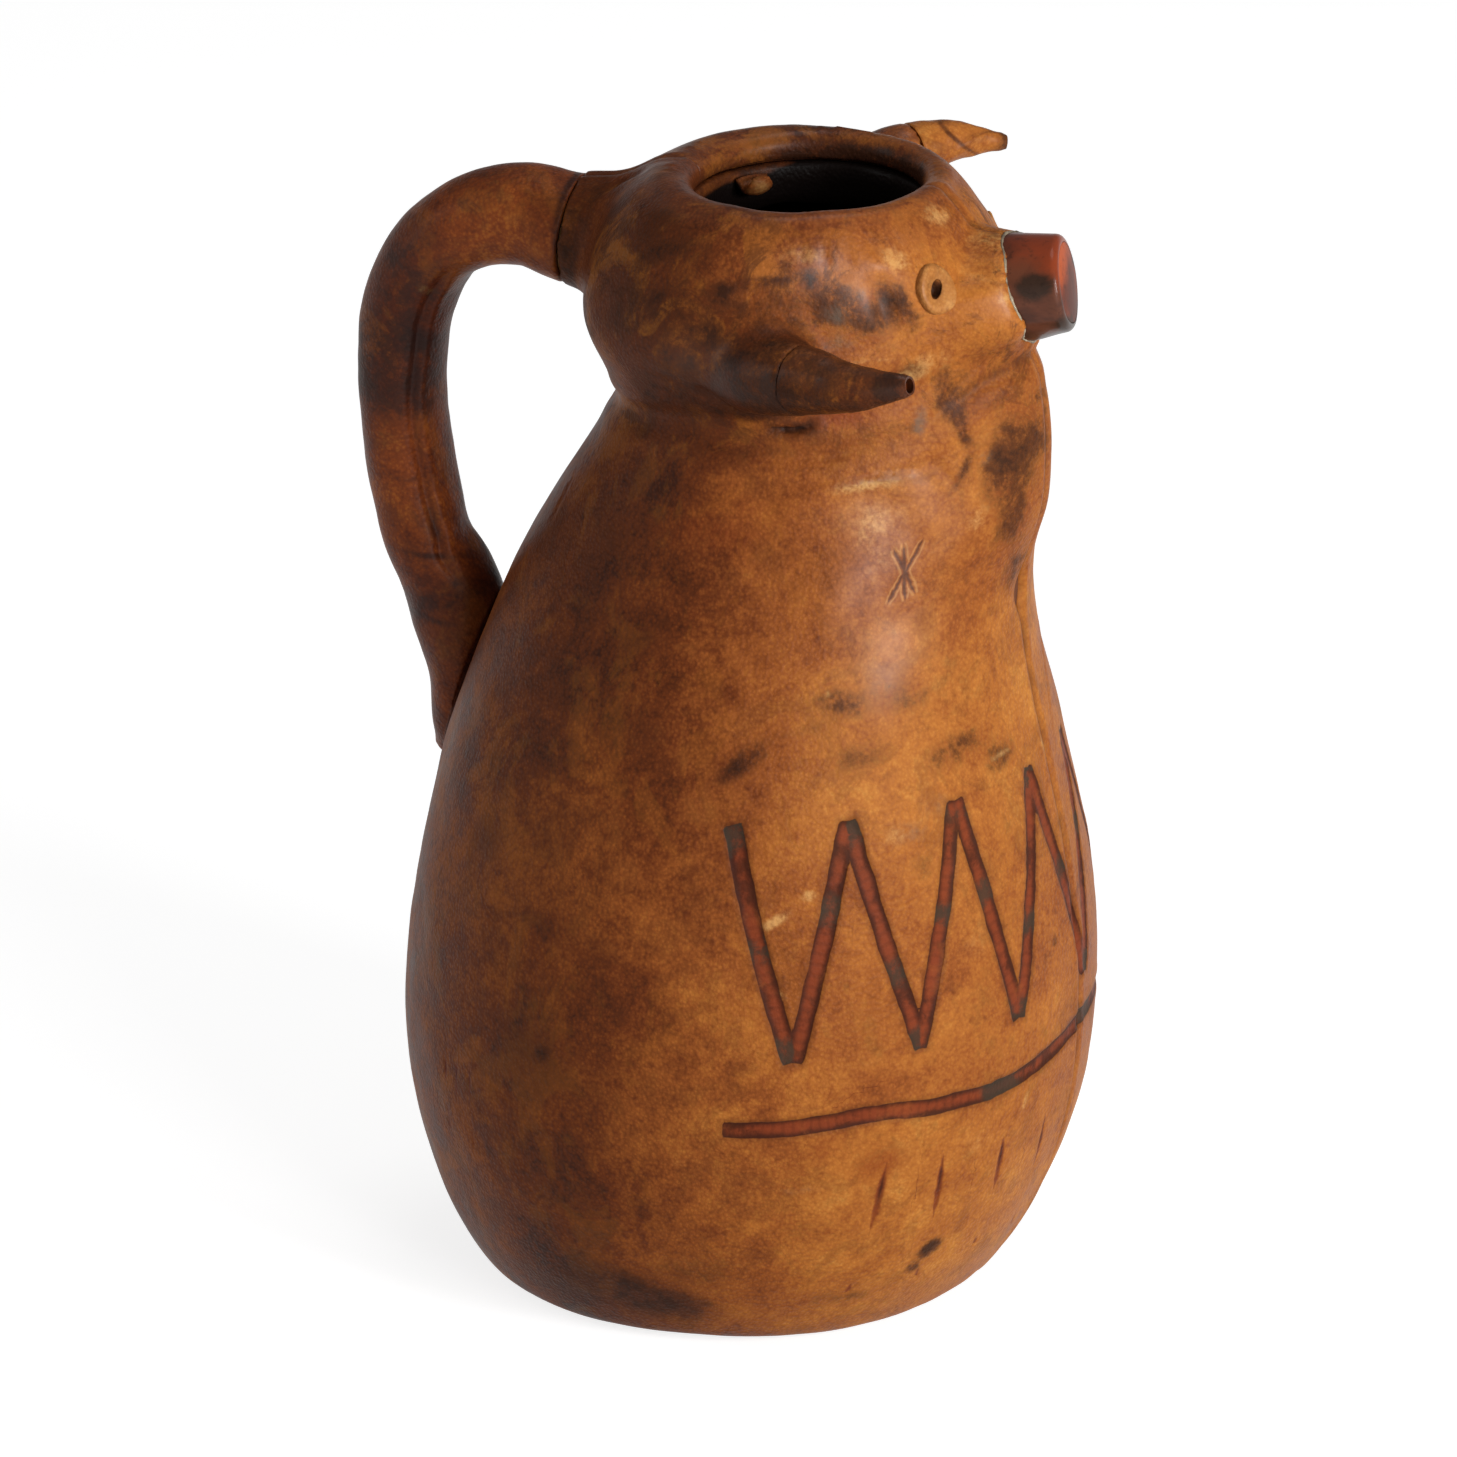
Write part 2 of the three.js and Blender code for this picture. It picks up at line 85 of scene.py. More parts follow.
def catmull(rows, u):                # smooth curve through rows, u counted in rows
    rows = np.asarray(rows, float)
    last = len(rows) - 1
    u = np.asarray(u, float)
    i = np.clip(np.floor(u).astype(int), 0, last - 1)
    t = (u - i)[..., None]
    b, c = rows[i], rows[i + 1]
    a = np.where((i > 0)[..., None], rows[np.maximum(i - 1, 0)], 2 * b - c)
    d = np.where((i + 2 <= last)[..., None], rows[np.minimum(i + 2, last)], 2 * c - b)
    return 0.5 * (2 * b + (c - a) * t + (2 * a - 5 * b + 4 * c - d) * t ** 2
                  + (3 * b - a - 3 * c + d) * t ** 3)


def formPoint(u, angle):             # outer form at a station and an angle, 0 at the front
    u, angle = np.broadcast_arrays(np.asarray(u, float), np.asarray(angle, float))
    zb, zf, xb, xf, half, pinch = np.moveaxis(catmull(form["rows"], u), -1, 0)
    span = xf - xb
    centre = xb + span * (0.5 - form["shift"] * pinch)
    cos = np.cos(angle)
    x = centre + np.where(cos > 0, xf - centre, centre - xb) * cos
    y = half * np.sin(angle) * (1 - form["nose"] * pinch * np.maximum(cos, 0) ** 1.5)
    return np.stack([x, y, zb + (zf - zb) * (x - xb) / span], -1)


def turns(count):                    # angles all the way round
    return np.arange(count) * 2 * math.pi / count


def unit(v):
    return v / np.maximum(np.linalg.norm(v, axis=-1, keepdims=True), 1e-12)


def formTangents(u, angle):          # up the form and round it, a station and a radian long
    step = 0.02
    low, high = np.clip(u - step, 0, lastStation), np.clip(u + step, 0, lastStation)
    up = (formPoint(high, angle) - formPoint(low, angle)) / (high - low)[..., None]
    round_ = (formPoint(u, angle + step) - formPoint(u, angle - step)) / (2 * step)
    return up, round_


def formNormal(u, angle):
    up, round_ = formTangents(np.asarray(u, float), np.asarray(angle, float))
    return unit(np.cross(round_, up))


def snoutAxis():                     # unit vector out of the head
    return unit(np.array([snoutFace[0] - snoutRoot[0], 0, snoutFace[1] - snoutRoot[1]]))


def ramp(value, low, high):          # smooth step from 0 at low to 1 at high
    t = np.clip((value - low) / (high - low), 0, 1)
    return t * t * (3 - 2 * t)


def bell(distance, width):           # 1 on the line, falling off over width
    return np.exp(-(distance / width) ** 2)


def flatRing(angle, x, rx, ry, z):   # level oval about x, 0
    return np.stack([x + rx * np.cos(angle), ry * np.sin(angle), z + 0 * angle], 1)


def mouthRing(angle, grow, z):       # the mouth's oval, grown by grow
    return flatRing(angle, form["mouthX"], form["mouthRx"] + grow, form["mouthRy"] + grow, z)


def lumps(points, cell, seed):       # smooth random lumps between -1 and 1
    q = np.asarray(points, float) / cell + seed * 13.7
    i = np.floor(q).astype(np.int64)
    f = q - i
    f = f * f * (3 - 2 * f)
    total = np.zeros(len(q))
    for dx in (0, 1):
        for dy in (0, 1):
            for dz in (0, 1):
                h = (i[:, 0] + dx) * 374761 + (i[:, 1] + dy) * 668265 + (i[:, 2] + dz) * 912931
                h = (h ^ (h >> 7)) * 1274126
                h = (h ^ (h >> 9)) * 97531
                value = ((h >> 5) & 1023) / 511.5 - 1
                w = (f[:, 0] if dx else 1 - f[:, 0]) * (f[:, 1] if dy else 1 - f[:, 1]) \
                    * (f[:, 2] if dz else 1 - f[:, 2])
                total += value * w
    return total


def uneven(points, *layers):         # sum of lumps, each height, cell and seed
    return sum(height * lumps(points, cell, seed) for height, cell, seed in layers)


@contextmanager
def editing(mesh):                   # a mesh opened as a bmesh, and written back
    bm = bmesh.new()
    bm.from_mesh(mesh)
    yield bm
    bm.to_mesh(mesh)
    bm.free()


def newMesh(name, points, faces):
    mesh = bpy.data.meshes.new(name)
    mesh.from_pydata((np.asarray(points) * mm).tolist(), [], faces)
    mesh.update()
    obj = bpy.data.objects.new(name, mesh)
    bpy.context.scene.collection.objects.link(obj)
    return obj


def loft(rings, closed=False):
    # rows of rings into points and faces; closed joins the last ring to the first, or both are capped
    rings = np.asarray(rings)
    rows, count = rings.shape[:2]
    points = rings.reshape(-1, 3).tolist()
    faces = []
    for j in range(rows if closed else rows - 1):
        a, b = j * count, ((j + 1) % rows) * count
        for k in range(count):
            n = (k + 1) % count
            faces.append((a + k, a + n, b + n, b + k))
    if not closed:
        for ring, flip in ((0, True), (rows - 1, False)):
            points.append(rings[ring].mean(0).tolist())
            centre, base = len(points) - 1, ring * count
            for k in range(count):
                n = (k + 1) % count
                faces.append((centre, base + n, base + k) if flip else (centre, base + k, base + n))
    return np.array(points), faces


def joined(*parts):                  # points and faces of several lofts as one
    points, faces, start = [], [], 0
    for more, moreFaces in parts:
        points.append(more)
        faces += [tuple(start + i for i in face) for face in moreFaces]
        start += len(more)
    return np.concatenate(points), faces


def sweepRings(rows, places, sides, side, shrink=0.0, shape=None):
    # rings of a tube square to its centre line; rows hold x, y, z, thickness, width
    rows = np.asarray(rows, float)
    last = len(rows) - 1
    angle = turns(sides)
    rings = []
    for u in places:
        row = catmull(rows, u)
        low, high = max(u - 0.05, 0), min(u + 0.05, last)
        along = unit(catmull(rows, high)[:3] - catmull(rows, low)[:3])
        across = unit(np.array(side) - along * np.dot(side, along))
        normal = np.cross(along, across)
        cos, sin = np.cos(angle), np.sin(angle)
        grow = shape(u, angle) if shape else 0.0
        rings.append(row[:3] + np.outer((row[4] - shrink + grow) * cos, across)
                     + np.outer((row[3] - shrink + grow) * sin, normal))
    return np.array(rings)


def applyModifiers(obj):
    depsgraph = bpy.context.evaluated_depsgraph_get()
    mesh = bpy.data.meshes.new_from_object(obj.evaluated_get(depsgraph))
    old = obj.data
    obj.modifiers.clear()
    obj.data = mesh
    bpy.data.meshes.remove(old)


def getPoints(mesh):
    co = np.empty(len(mesh.vertices) * 3)
    mesh.vertices.foreach_get("co", co)
    return co.reshape(-1, 3) / mm


def setPoints(mesh, points):
    mesh.vertices.foreach_set("co", (points * mm).ravel())
    mesh.update()


def getNormals(mesh):
    no = np.empty(len(mesh.vertices) * 3)
    mesh.vertices.foreach_get("normal", no)
    return no.reshape(-1, 3)


def paint(mesh, name, values):       # one number a vertex, read by the materials
    layer = mesh.attributes.new(name, "FLOAT", "POINT")
    layer.data.foreach_set("value", np.asarray(values, np.float32))


def shadeSmooth(obj, degrees=180):
    mesh = obj.data
    mesh.polygons.foreach_set("use_smooth", [True] * len(mesh.polygons))
    if degrees < 180:
        limit = math.radians(degrees)
        with editing(mesh) as bm:
            for edge in bm.edges:
                edge.smooth = not edge.is_manifold or edge.calc_face_angle(0) < limit
    mesh.update()


def relax(mesh, points, weight, rounds):     # rounds of smoothing where weight is over 0
    edges = np.empty(len(mesh.edges) * 2, int)
    mesh.edges.foreach_get("vertices", edges)
    edges = edges.reshape(-1, 2)
    near = weight > 0.001
    keep = near[edges[:, 0]] | near[edges[:, 1]]
    a, b = edges[keep].T
    count = np.bincount(a, minlength=len(points)) + np.bincount(b, minlength=len(points))
    count = np.maximum(count, 1)
    for _ in range(rounds):
        total = np.stack([np.bincount(a, points[b, i], len(points))
                          + np.bincount(b, points[a, i], len(points)) for i in range(3)], 1)
        points = points + weight[:, None] * (total / count[:, None] - points)
    return points


def tubeDistance(points, rows, last):        # distance outside a tube of x, y, z, radius
    best = np.full(len(points), 1e9)
    for u in np.linspace(0, last, 40):
        row = catmull(rows, u)
        best = np.minimum(best, np.linalg.norm(points - row[:3], axis=1) - row[3])
    return best


# Where every vertex lies on the outer form: station, angle, and mm along each
class FormPlaces:
    us = np.linspace(0, lastStation, 40 * lastStation + 1)
    angles = turns(400) - math.pi
    gridU, gridA = (g.ravel() for g in np.meshgrid(us, angles, indexing="ij"))
    samples = formPoint(gridU, gridA)
    tree = KDTree(len(samples))
    for i, p in enumerate(samples):
        tree.insert(p, i)
    tree.balance()

    def __init__(self, points):
        gridU, gridA, samples = self.gridU, self.gridA, self.samples
        up, round_ = formTangents(gridU, gridA)
        hit = np.array([self.tree.find(p)[1] for p in points])
        away = points - samples[hit]
        up, round_ = up[hit], round_[hit]
        self.upLength = np.linalg.norm(up, axis=1)
        self.roundLength = np.linalg.norm(round_, axis=1)
        self.u = gridU[hit] + (away * up).sum(1) / self.upLength ** 2
        self.angle = gridA[hit] + (away * round_).sum(1) / self.roundLength ** 2
        self.height = (away * unit(np.cross(round_, up))).sum(1)

    def offset(self, u, degrees):            # mm to a place: round, up
        turn = (math.radians(degrees) - self.angle + math.pi) % (2 * math.pi) - math.pi
        return turn * self.roundLength, (u - self.u) * self.upLength

    def ends(self, start, end):              # mm to both ends of a stroke
        (u0, d0), (u1, d1) = start, end
        x, _ = self.offset(u0, (d0 + d1) / 2)
        half = math.radians(d1 - d0) / 2 * self.roundLength
        return x - half, (u0 - self.u) * self.upLength, x + half, (u1 - self.u) * self.upLength

    def line(self, places):                  # distance to a drawn line, and share along it
        best = np.full(len(self.u), 1e9)
        along = np.zeros(len(self.u))
        for i, (start, end) in enumerate(zip(places, places[1:])):
            ax, ay, bx, by = self.ends(start, end)
            dx, dy = bx - ax, by - ay
            t = np.clip(-(ax * dx + ay * dy) / (dx ** 2 + dy ** 2 + 1e-9), 0, 1)
            distance = np.hypot(ax + t * dx, ay + t * dy)
            closer = distance < best
            best = np.where(closer, distance, best)
            along = np.where(closer, i + t, along)
        return best, along / (len(places) - 1)

    def stroke(self, start, end):            # mm beside a straight stroke, mm along it, length
        ax, ay, bx, by = self.ends(start, end)
        dx, dy = bx - ax, by - ay
        length = np.hypot(dx, dy) + 1e-9
        return (ax * dy - ay * dx) / length, -(ax * dx + ay * dy) / length, length

    def bar(self, start, end, width):        # edge distance of a square-ended bar, mm along it
        beside, along, length = self.stroke(start, end)
        return np.maximum(np.abs(beside) - width / 2, np.maximum(-along, along - length)), \
            along, length

    def spot(self, u, degrees, wide, high, tilt=0.0):   # soft spot, 1 at its middle
        x, y = self.offset(u, degrees)
        cos, sin = math.cos(math.radians(tilt)), math.sin(math.radians(tilt))
        return np.exp(-((x * cos + y * sin) / wide) ** 2 - ((y * cos - x * sin) / high) ** 2)


# Wet-formed vessel, one skin that is cut into the right and left half shells
shell = {
    "voxel": 1.15,
    "around": 220, "rowsPerStation": 9,
    "heelInner": 52.0, "heelBottom": 0.5, "heelStation": 0.1,
    "lipZ": 297.2, "rollOver": (1.8, 304.4),        # rim's roll: its lip, and the bend it pulls to
    "insideFrom": 14.1, "insideTo": 0.85,           # stations of the inner face, top to floor
    "rootReach": 1.5,           # how near a tube the skin counts as its root
    "junction": 9.0,            # how far the horns and handle melt into the head
    "lumpHeight": 0.45,
    "grooveDepth": 0.42,        # burnt bars
    "seamGap": 0.15,
}


def wallRings():
    angle = turns(shell["around"])
    ones = np.ones_like(angle)
    bottom, wall, r = shell["heelBottom"], form["wall"], shell["heelInner"]
    rings = [flatRing(angle, 0, r, r, z) for z in (bottom + wall, bottom + wall / 2, bottom)]
    foot, heel = rings[-1], formPoint(shell["heelStation"], angle)
    rings += [foot * (1 - t) + heel * t for t in (0.35, 0.7)]
    for u in np.linspace(shell["heelStation"], form["rollFrom"],
                         int(form["rollFrom"] * shell["rowsPerStation"])):
        rings.append(formPoint(u, angle))
    start = rings[-1]
    lip = mouthRing(angle, 0, shell["lipZ"])
    over = mouthRing(angle, *shell["rollOver"])
    for t in np.linspace(0, 1, 12)[1:]:                  # rim rolls over into the mouth
        rings.append((1 - t) ** 2 * start + 2 * t * (1 - t) * over + t * t * lip)
    rings += [mouthRing(angle, 0, z) for z in (294, 291, form["flangeBottom"])]
    rings += [mouthRing(angle, wall * 0.7, form["flangeBottom"] - 0.2)]
    top, floor = shell["insideFrom"], shell["insideTo"]
    for u in np.linspace(top, floor, int(13 * shell["rowsPerStation"])):
        ring = formPoint(u, angle) - wall * formNormal(u * ones, angle)
        ring[:, 2] = np.maximum(ring[:, 2], bottom + wall)
        rings.append(ring)
    return np.array(rings)


def cupRings(rows, end, sides, side, wall, depth):
    # a tube from its root to end, with a pocket in its end
    length = np.linalg.norm(catmull(rows, end)[:3] - catmull(rows, end - 0.1)[:3]) * 10
    out = sweepRings(rows, np.linspace(0, end, 14), sides, side)
    back = sweepRings(rows, np.linspace(end, end - depth / length, 5), sides, side, wall)
    return np.concatenate([out, back])


def asTube(rows):                    # x, y, z, radius into x, y, z, thickness, width
    rows = np.asarray(rows, float)
    return np.column_stack([rows, rows[:, 3]])


handleTube = np.array([(x, 0, z, t, w) for x, z, t, w in handle["rows"]], float)
hornTubes = {side: asTube(horns[side]) for side in ("right", "left")}
halfGap = form["gap"] / 2


def shiftStation(rows, station, distance):
    rows = np.asarray(rows, float)
    step = np.linalg.norm(catmull(rows, station + 0.1)[:3] - catmull(rows, station)[:3])
    return station + distance * 0.1 / step


def buildVessel():
    cups = [cupRings(handleTube, shiftStation(handleTube, handle["joint"], -halfGap), 64,
                     (0, 1, 0), handle["wrap"], handle["peg"])]
    for tube in hornTubes.values():
        cups.append(cupRings(tube, shiftStation(tube, horns["joint"], -halfGap), 48, (0, 0, 1),
                             horns["baseWall"], horns["pegIn"]))
    wall = loft(wallRings(), closed=True)
    obj = newMesh("vessel", *joined(wall, *(loft(rings) for rings in cups)))
    with editing(obj.data) as bm:
        bmesh.ops.recalc_face_normals(bm, faces=bm.faces)
    remesh = obj.modifiers.new("remesh", "REMESH")
    remesh.mode = "VOXEL"
    remesh.voxel_size = shell["voxel"] * mm
    applyModifiers(obj)
    return obj


vessel = buildVessel()
print("vessel remeshed:", len(vessel.data.vertices), "vertices")


# Drawn and burnt marks: places are (station, degrees round the form), sizes in mm
eyeTurn = 0.45
marks = {
    "neckFold": [(11, -180), (10.95, -150), (10.9, -122), (10.92, -103), (10.48, -86), (10.2, -73),
                 (10.12, -63), (10.2, -53), (10.42, -43), (10.75, -31), (10.9, -14), (10.9, 0),
                 (10.9, 15), (10.7, 32), (10.4, 46), (10.2, 60), (10.3, 76), (10.6, 92),
                 (10.9, 110), (10.95, 145), (11, 180)],
    "hornFold": [(12.1, -93), (11.5, -84), (11.3, -74), (11.2, -64), (11.3, -54), (11.7, -47)],
    "chestStep": [(9.45, -74), (9.7, -67), (9.78, -60), (9.72, -54), (9.5, -48), (9.2, -44)],
    "slit": [(10.7, -80.5), (10.6, -76), (10.65, -72)],
    "zigzagTop": 6.02, "zigzagBottom": 4.2, "zigzagFrom": -75, "zigzagStep": 11, "zigzagBars": 15,
    "barWidth": 4.8, "barOver": 0.05, "barSlip": 0.6,
    "underline": [(3.58, -75), (3.58, -69), (3.6, -62.5), (3.62, -57), (3.65, -51.5), (3.65, -46),
                  (3.62, -40), (3.62, -33.5), (3.6, -27), (3.62, -21.5), (3.65, -16.5),
                  (3.7, -10.5), (3.75, -4.5), (3.8, 2), (3.8, 14), (3.76, 28), (3.7, 42),
                  (3.62, 56), (3.56, 70)],
    "underlineLength": 210,
    # start, end, half width
    "ticks": [((3.17, -47), (2.48, -48.3), 1.4), ((3.14, -36.2), (2.48, -35.6), 1.2),
              ((3.12, -22.7), (2.56, -22.1), 1.25), ((3.14, -10.6), (2.56, -9.6), .9),
              ((3.15, 3), (2.6, 3.6), 1.0), ((3.1, 16), (2.55, 17), 1.1),
              ((3.12, 28.8), (2.52, 30), 1.0), ((3.08, 42), (2.5, 42.7), 1.0),
              ((3.62, -128), (3.3, -128), .5), ((3.65, -124), (3.35, -124), .5),
              ((3.6, -131.5), (3.38, -131.5), .5)],
    "starAt": (8.56, -46.6), "starHalf": 0.46, "starEnd": 9.4,     # mm: half width, reach
    "starStrokes": [((9.07, -50.1), (8.06, -43)), ((9.0, -44.8), (8.12, -47.8)),
                    ((9.07, -53.7), (8.1, -39.8))],
    "eye": (13.6, 33),
    # fine folds: places, half width, depth
    "folds": [
        ([(14.55, -170), (14.9, -171), (15.4, -168)], 1.3, .9), ([(14.2, 166), (15.1, 170)], 1.2, .6),
        ([(15.2, -68), (14.55, -66)], .9, .3), ([(15.15, -61.5), (14.35, -59.5)], 1, .35),
        ([(15.1, -54), (14.33, -52.5)], .9, .3), ([(15.1, -46.5), (14.4, -45)], 1, .3),
        ([(15.2, -37.5), (14.58, -36)], .9, .25), ([(15.2, -84), (14.7, -83.5)], .9, .25),
        ([(15.1, 40), (14.4, 42)], .9, .3), ([(15.2, 58), (14.5, 60)], .9, .3),
        ([(13.62, -77), (13.53, -72), (13.38, -67.5)], .5, .35),
        ([(12.95, -24), (12.35, -28.5), (11.93, -32.5)], .8, .3),
        ([(11.58, -18), (11.15, -28.5), (10.85, -36.5), (10.53, -42.5), (10.25, -46)], 1.2, .45),
        ([(10.58, -1.5), (10.7, -19.5), (10.68, -29.5), (10.55, -37)], 1.3, .4),
        ([(11.5, 19), (11.1, 29), (10.8, 37), (10.4, 44)], 1.2, .45),
        ([(9.9, -46), (9.5, -38.5), (9.2, -35)], .9, .4), ([(12.6, -110), (12.2, -96)], 1.2, .35),
        ([(10.15, -79), (10.05, -68), (10.2, -60)], 1.1, .35), ([(9.0, -98), (8.4, -101)], .8, .25),
        ([(8.0, 20), (7.43, 18.5), (6.9, 15), (6.43, 7.5), (6.08, 4.5)], .8, .4),
        ([(9.4, -150), (8.7, -148)], .9, .3), ([(12.3, 150), (11.9, 128)], 1.3, .4),
    ],
}
# Leather drawn forward round the snout: mm it moves, mm from the axis that it reaches
muzzle = {
    "push": 8.0, "lower": 1.4, "reach": 18.5, "sideReach": 9,
    "inner": (12.6, 13.6), "full": 14.8, "lowerAt": (17.5, 3.6), "aheadOf": (30, 52),
}
rim = {"turnIn": 3.4, "turnFrom": (292.4, 293.6), "waveFrom": (293, 300), "sink": 0.3}
# Stains, and painted shade under the head and horns and beside the eyes: station, degrees, half width,
# half height (mm), tilt, strength
stainsAndShades = [
    (13.5, -42.5, 2, 5, 0, .7), (14.5, -112, 6, 3, 20, .7), (13.8, -104, 5, 4, 0, .6),
    (13.75, -84, 16, 7, 0, .5), (11.2, -30, 12, 8, 10, .35), (9.9, -22, 9, 12, 0, .35),
    (8.2, 0, 7, 12, 0, .4), (14.05, -86, 3.5, 1.6, 0, .9), (14.12, -80, 3.5, 1.4, 8, .95),
    (14.2, -74, 5, 1.2, 4, .7),
    (13.9, -86.5, 1.8, 1.3, 0, .7), (13.35, -87, 2.8, 2.6, 0, .9), (13.15, -89, 2.4, 1.8, 0, .6),
    (14.23, -64.5, 2.6, 2, -20, 1.0), (13.93, -58.5, 3.4, 1.6, -20, .8), (13.55, -57, 6, 3.6, -25, .7),
    (13.25, -52, 4, 5, 10, .75), (13.6, -46.5, 2.4, 4.4, 0, .85), (13.2, -43.5, 3, 2.5, 0, .6),
    (13.12, -80, 12, 6, 6, .55), (13.55, -72, 16, 4, -4, .4), (12.6, -78, 13, 6, 0, .6),
    (14.6, -99, 8, 6, 0, .35), (14.8, -129, 13, 7, 0, .55), (13.6, -119, 13, 12, 0, .62),
    (13.0, -101, 9, 8, 0, .5), (12.2, -112, 13, 9, 0, .6), (11.93, -98, 12, 4, 4, .65),
    (11.2, -112, 12, 5, 0, .45), (14.3, -150, 12, 12, 0, .55), (12.6, -150, 12, 14, 0, .5),
    (11.58, -73, 10, 2.6, 0, .8), (11.08, -65, 4, 1.6, 8, 1.0), (11.1, -58.5, 4.5, 1.5, 12, .8),
    (11.35, -84, 8, 2.6, -8, .7), (11.2, -76, 17, 3.5, -4, .6), (10.62, -76, 6, 2, 0, .8),
    (12.9, -63, 7, 1.8, -18, .55), (12.4, -70, 12, 2.4, -8, .5),
    (10.85, -126, 12, 4, 0, .5), (10.58, -99, 12, 4, 0, .35), (10.3, -84, 14, 3, 0, .5),
    (10.3, -64, 9, 2.6, 0, .45), (10.35, -50, 5, 2.4, 10, .5), (10.5, -40, 3, 6, 20, .6),
    (9.6, -37.5, 1.3, 5, -30, .8), (10.1, -37, 1.6, 4, 10, .7), (9.5, -22, 7, 8, 15, .62),
    (8.95, -16, 5, 8, 10, .66), (9.8, -14, 7, 5, 0, .55), (8.45, -25, 4, 5, 0, .4),
    (8.1, -9, 4, 6, 10, .6), (10.45, -26, 8, 2.2, -5, .6), (10.25, -7, 5, 3, 0, .5),
    (9.95, -4, 4, 10, 0, .5), (7.1, -55, 7, 3.4, -14, .5), (7.1, -42, 9, 4.5, -8, .5),
    (6.6, -51, 8, 4, 0, .4), (6.48, -28, 10, 4.4, 6, .6), (6.28, -17, 7, 4, 0, .5),
    (6.62, -73, 7, 3, 32, .7), (6.5, -76, 4, 2, 30, .7), (6.85, -62, 8, 2, 10, .4),
    (5.6, -18, 5, 7, 0, .35), (5.6, -38, 6, 4, 0, .35), (4.62, -9, 1.5, 1.6, 0, .8),
    (6.9, -116, 9, 7, 0, .35), (7.7, -100, 10, 9, 0, .4), (6.7, -94, 9, 9, 20, .42),
    (5.95, -98, 9, 6, 0, .3), (5.1, -105, 10, 9, 0, .35), (5.45, -127, 7, 11, 0, .35),
    (4.0, -111, 11, 12, 0, .4), (3.75, -95, 9, 7, 0, .3), (3.1, -78, 9, 5, 0, .3),
    (5.25, -80, 6, 5, 0, .3), (4.0, -107, 2.0, 1.5, 0, .8), (7.35, -108, 5, 1.8, 30, .5),
    (7.95, -95, 1.6, 1.4, 0, .6), (6.25, -96, 1.4, 1.4, 0, .5),
    (1.72, -95, 17, 6, -16, .85), (1.55, -84, 9, 4, 0, .7), (2.1, -78, 12, 5, 0, .4),
    (2.12, -34.5, 4, 2.6, 30, .8), (1.9, -37, 2, 1.6, 0, .8), (1.65, -52, 14, 2.6, 0, .4),
    (2.75, -99, 12, 7, 0, .35), (2.6, -61, 8, 3, 0, .3), (1.5, -110, 16, 5, -8, .5),
    (9.3, -128, 12, 16, 0, .35), (8.4, -118, 8, 14, 0, .35), (8.3, -150, 12, 22, 0, .4),
    # the far side and the back, not in the photograph
    (14.1, 84, 5, 3, 0, .8), (13.7, 70, 8, 2, 20, .7), (13.2, 62, 7, 5, 20, .6),
    (13.4, 118, 13, 12, 0, .5), (12.3, 100, 14, 5, 0, .6), (11.6, 70, 12, 3, 0, .7),
    (11.2, 88, 9, 3, 8, .7), (10.4, 95, 13, 4, 0, .5), (9.6, 24, 7, 8, -10, .7),
    (8.9, 15, 4, 8, 0, .5), (8.3, 95, 14, 9, 10, .4), (7.2, 50, 9, 4, 12, .5),
    (6.7, 66, 8, 3, -25, .75), (6.1, 120, 14, 9, 0, .45), (5.2, 30, 6, 7, 0, .35),
    (4.6, 100, 12, 8, 30, .45), (3.2, 75, 10, 5, 0, .4), (1.8, 95, 20, 6, 6, .8),
    (2.4, 30, 5, 3.4, 0, .8), (1.8, 150, 16, 6, 0, .6), (1.6, -150, 20, 6, 0, .6),
    (4.0, 155, 16, 14, 0, .35), (6.5, -160, 12, 12, 0, .4), (3.6, 130, 5, 2.4, 40, .7),
    (7.6, 148, 9, 7, 30, .4), (5.3, 170, 10, 4, -20, .45), (2.9, -170, 12, 9, 0, .35),
]
ashStains = [
    (13.45, -58, 4, 3, -20, .8), (10.42, -48, 1.7, 3.2, -10, 1.0), (5.9, -41.5, 6, 3, -15, .6),
    (12.85, -60, 3, 2, 10, .4), (9.7, -59, 9, 1.2, 0, .7),
    (8.6, -40, 2, 2.4, 0, .4), (9.75, -31, 2, 2, 0, .6),
    (6.1, -36, 5, 4, 0, .4), (4.55, -73, 2.5, 2, 0, .3), (3.0, -62, 7, 1.6, 4, .45),
    (12.9, -60, 5, 3, -20, .5), (9.2, 40, 3, 4, 0, .6), (5.6, 47, 5, 3, 0, .5),
]
# Pale scuffs, and painted highlights on the chest and along its step: station, degrees, half width, half
# height (mm), tilt, strength
scuffsAndHighlights = [
    (9.25, -56.5, 7, 6, 0, .5), (8.7, -52, 6, 10, 12, .28), (14.35, -40.5, 3.4, 3, 20, .75),
    (15.08, -15, 5, 3, 0, .6), (14.2, -6, 5, 4, 0, .5),
    (11.83, -43, 7, 3.4, 0, .5), (11.4, -51, 6, 2, 0, .5), (13.48, -19.5, 4, 6, 0, .4),
    (14.7, -66, 8, 3, 0, .35), (9.66, -60, 7, 1.1, 0, .9), (9.1, -31, 3, 4, 0, .6),
    (3.2, -29, 7, 5, 0, .35), (4.9, -29, 6, 6, 0, .3), (4.3, -64, 6, 5, 0, .25),
    (5.5, -61, 1.8, 1.2, 0, .9), (5.32, -66.5, 4, 1.2, 32, .8), (4.88, -67.5, 1.2, 2, 20, .9),
    (4.72, -66, 2, 1.4, -30, .8), (6.3, -17, 6, .9, 4, .6), (6.15, -1, 1.5, 3, 20, .6),
    (3.38, -18, 1, 3, -25, .6), (7.2, -58, .8, .8, 0, .8), (3.25, -82, 3, 1.4, 0, .4),
    (5.9, -44, 5, 3, 20, .35), (13.15, -22, 1.6, 1.6, 0, .8), (12.35, -56, 7, .8, -12, .7),
    (4.1, 60, 3, 1, 20, .7), (5.2, 88, 1.6, 1.2, 0, .7), (7.2, 44, 4, 1, -10, .6),
]
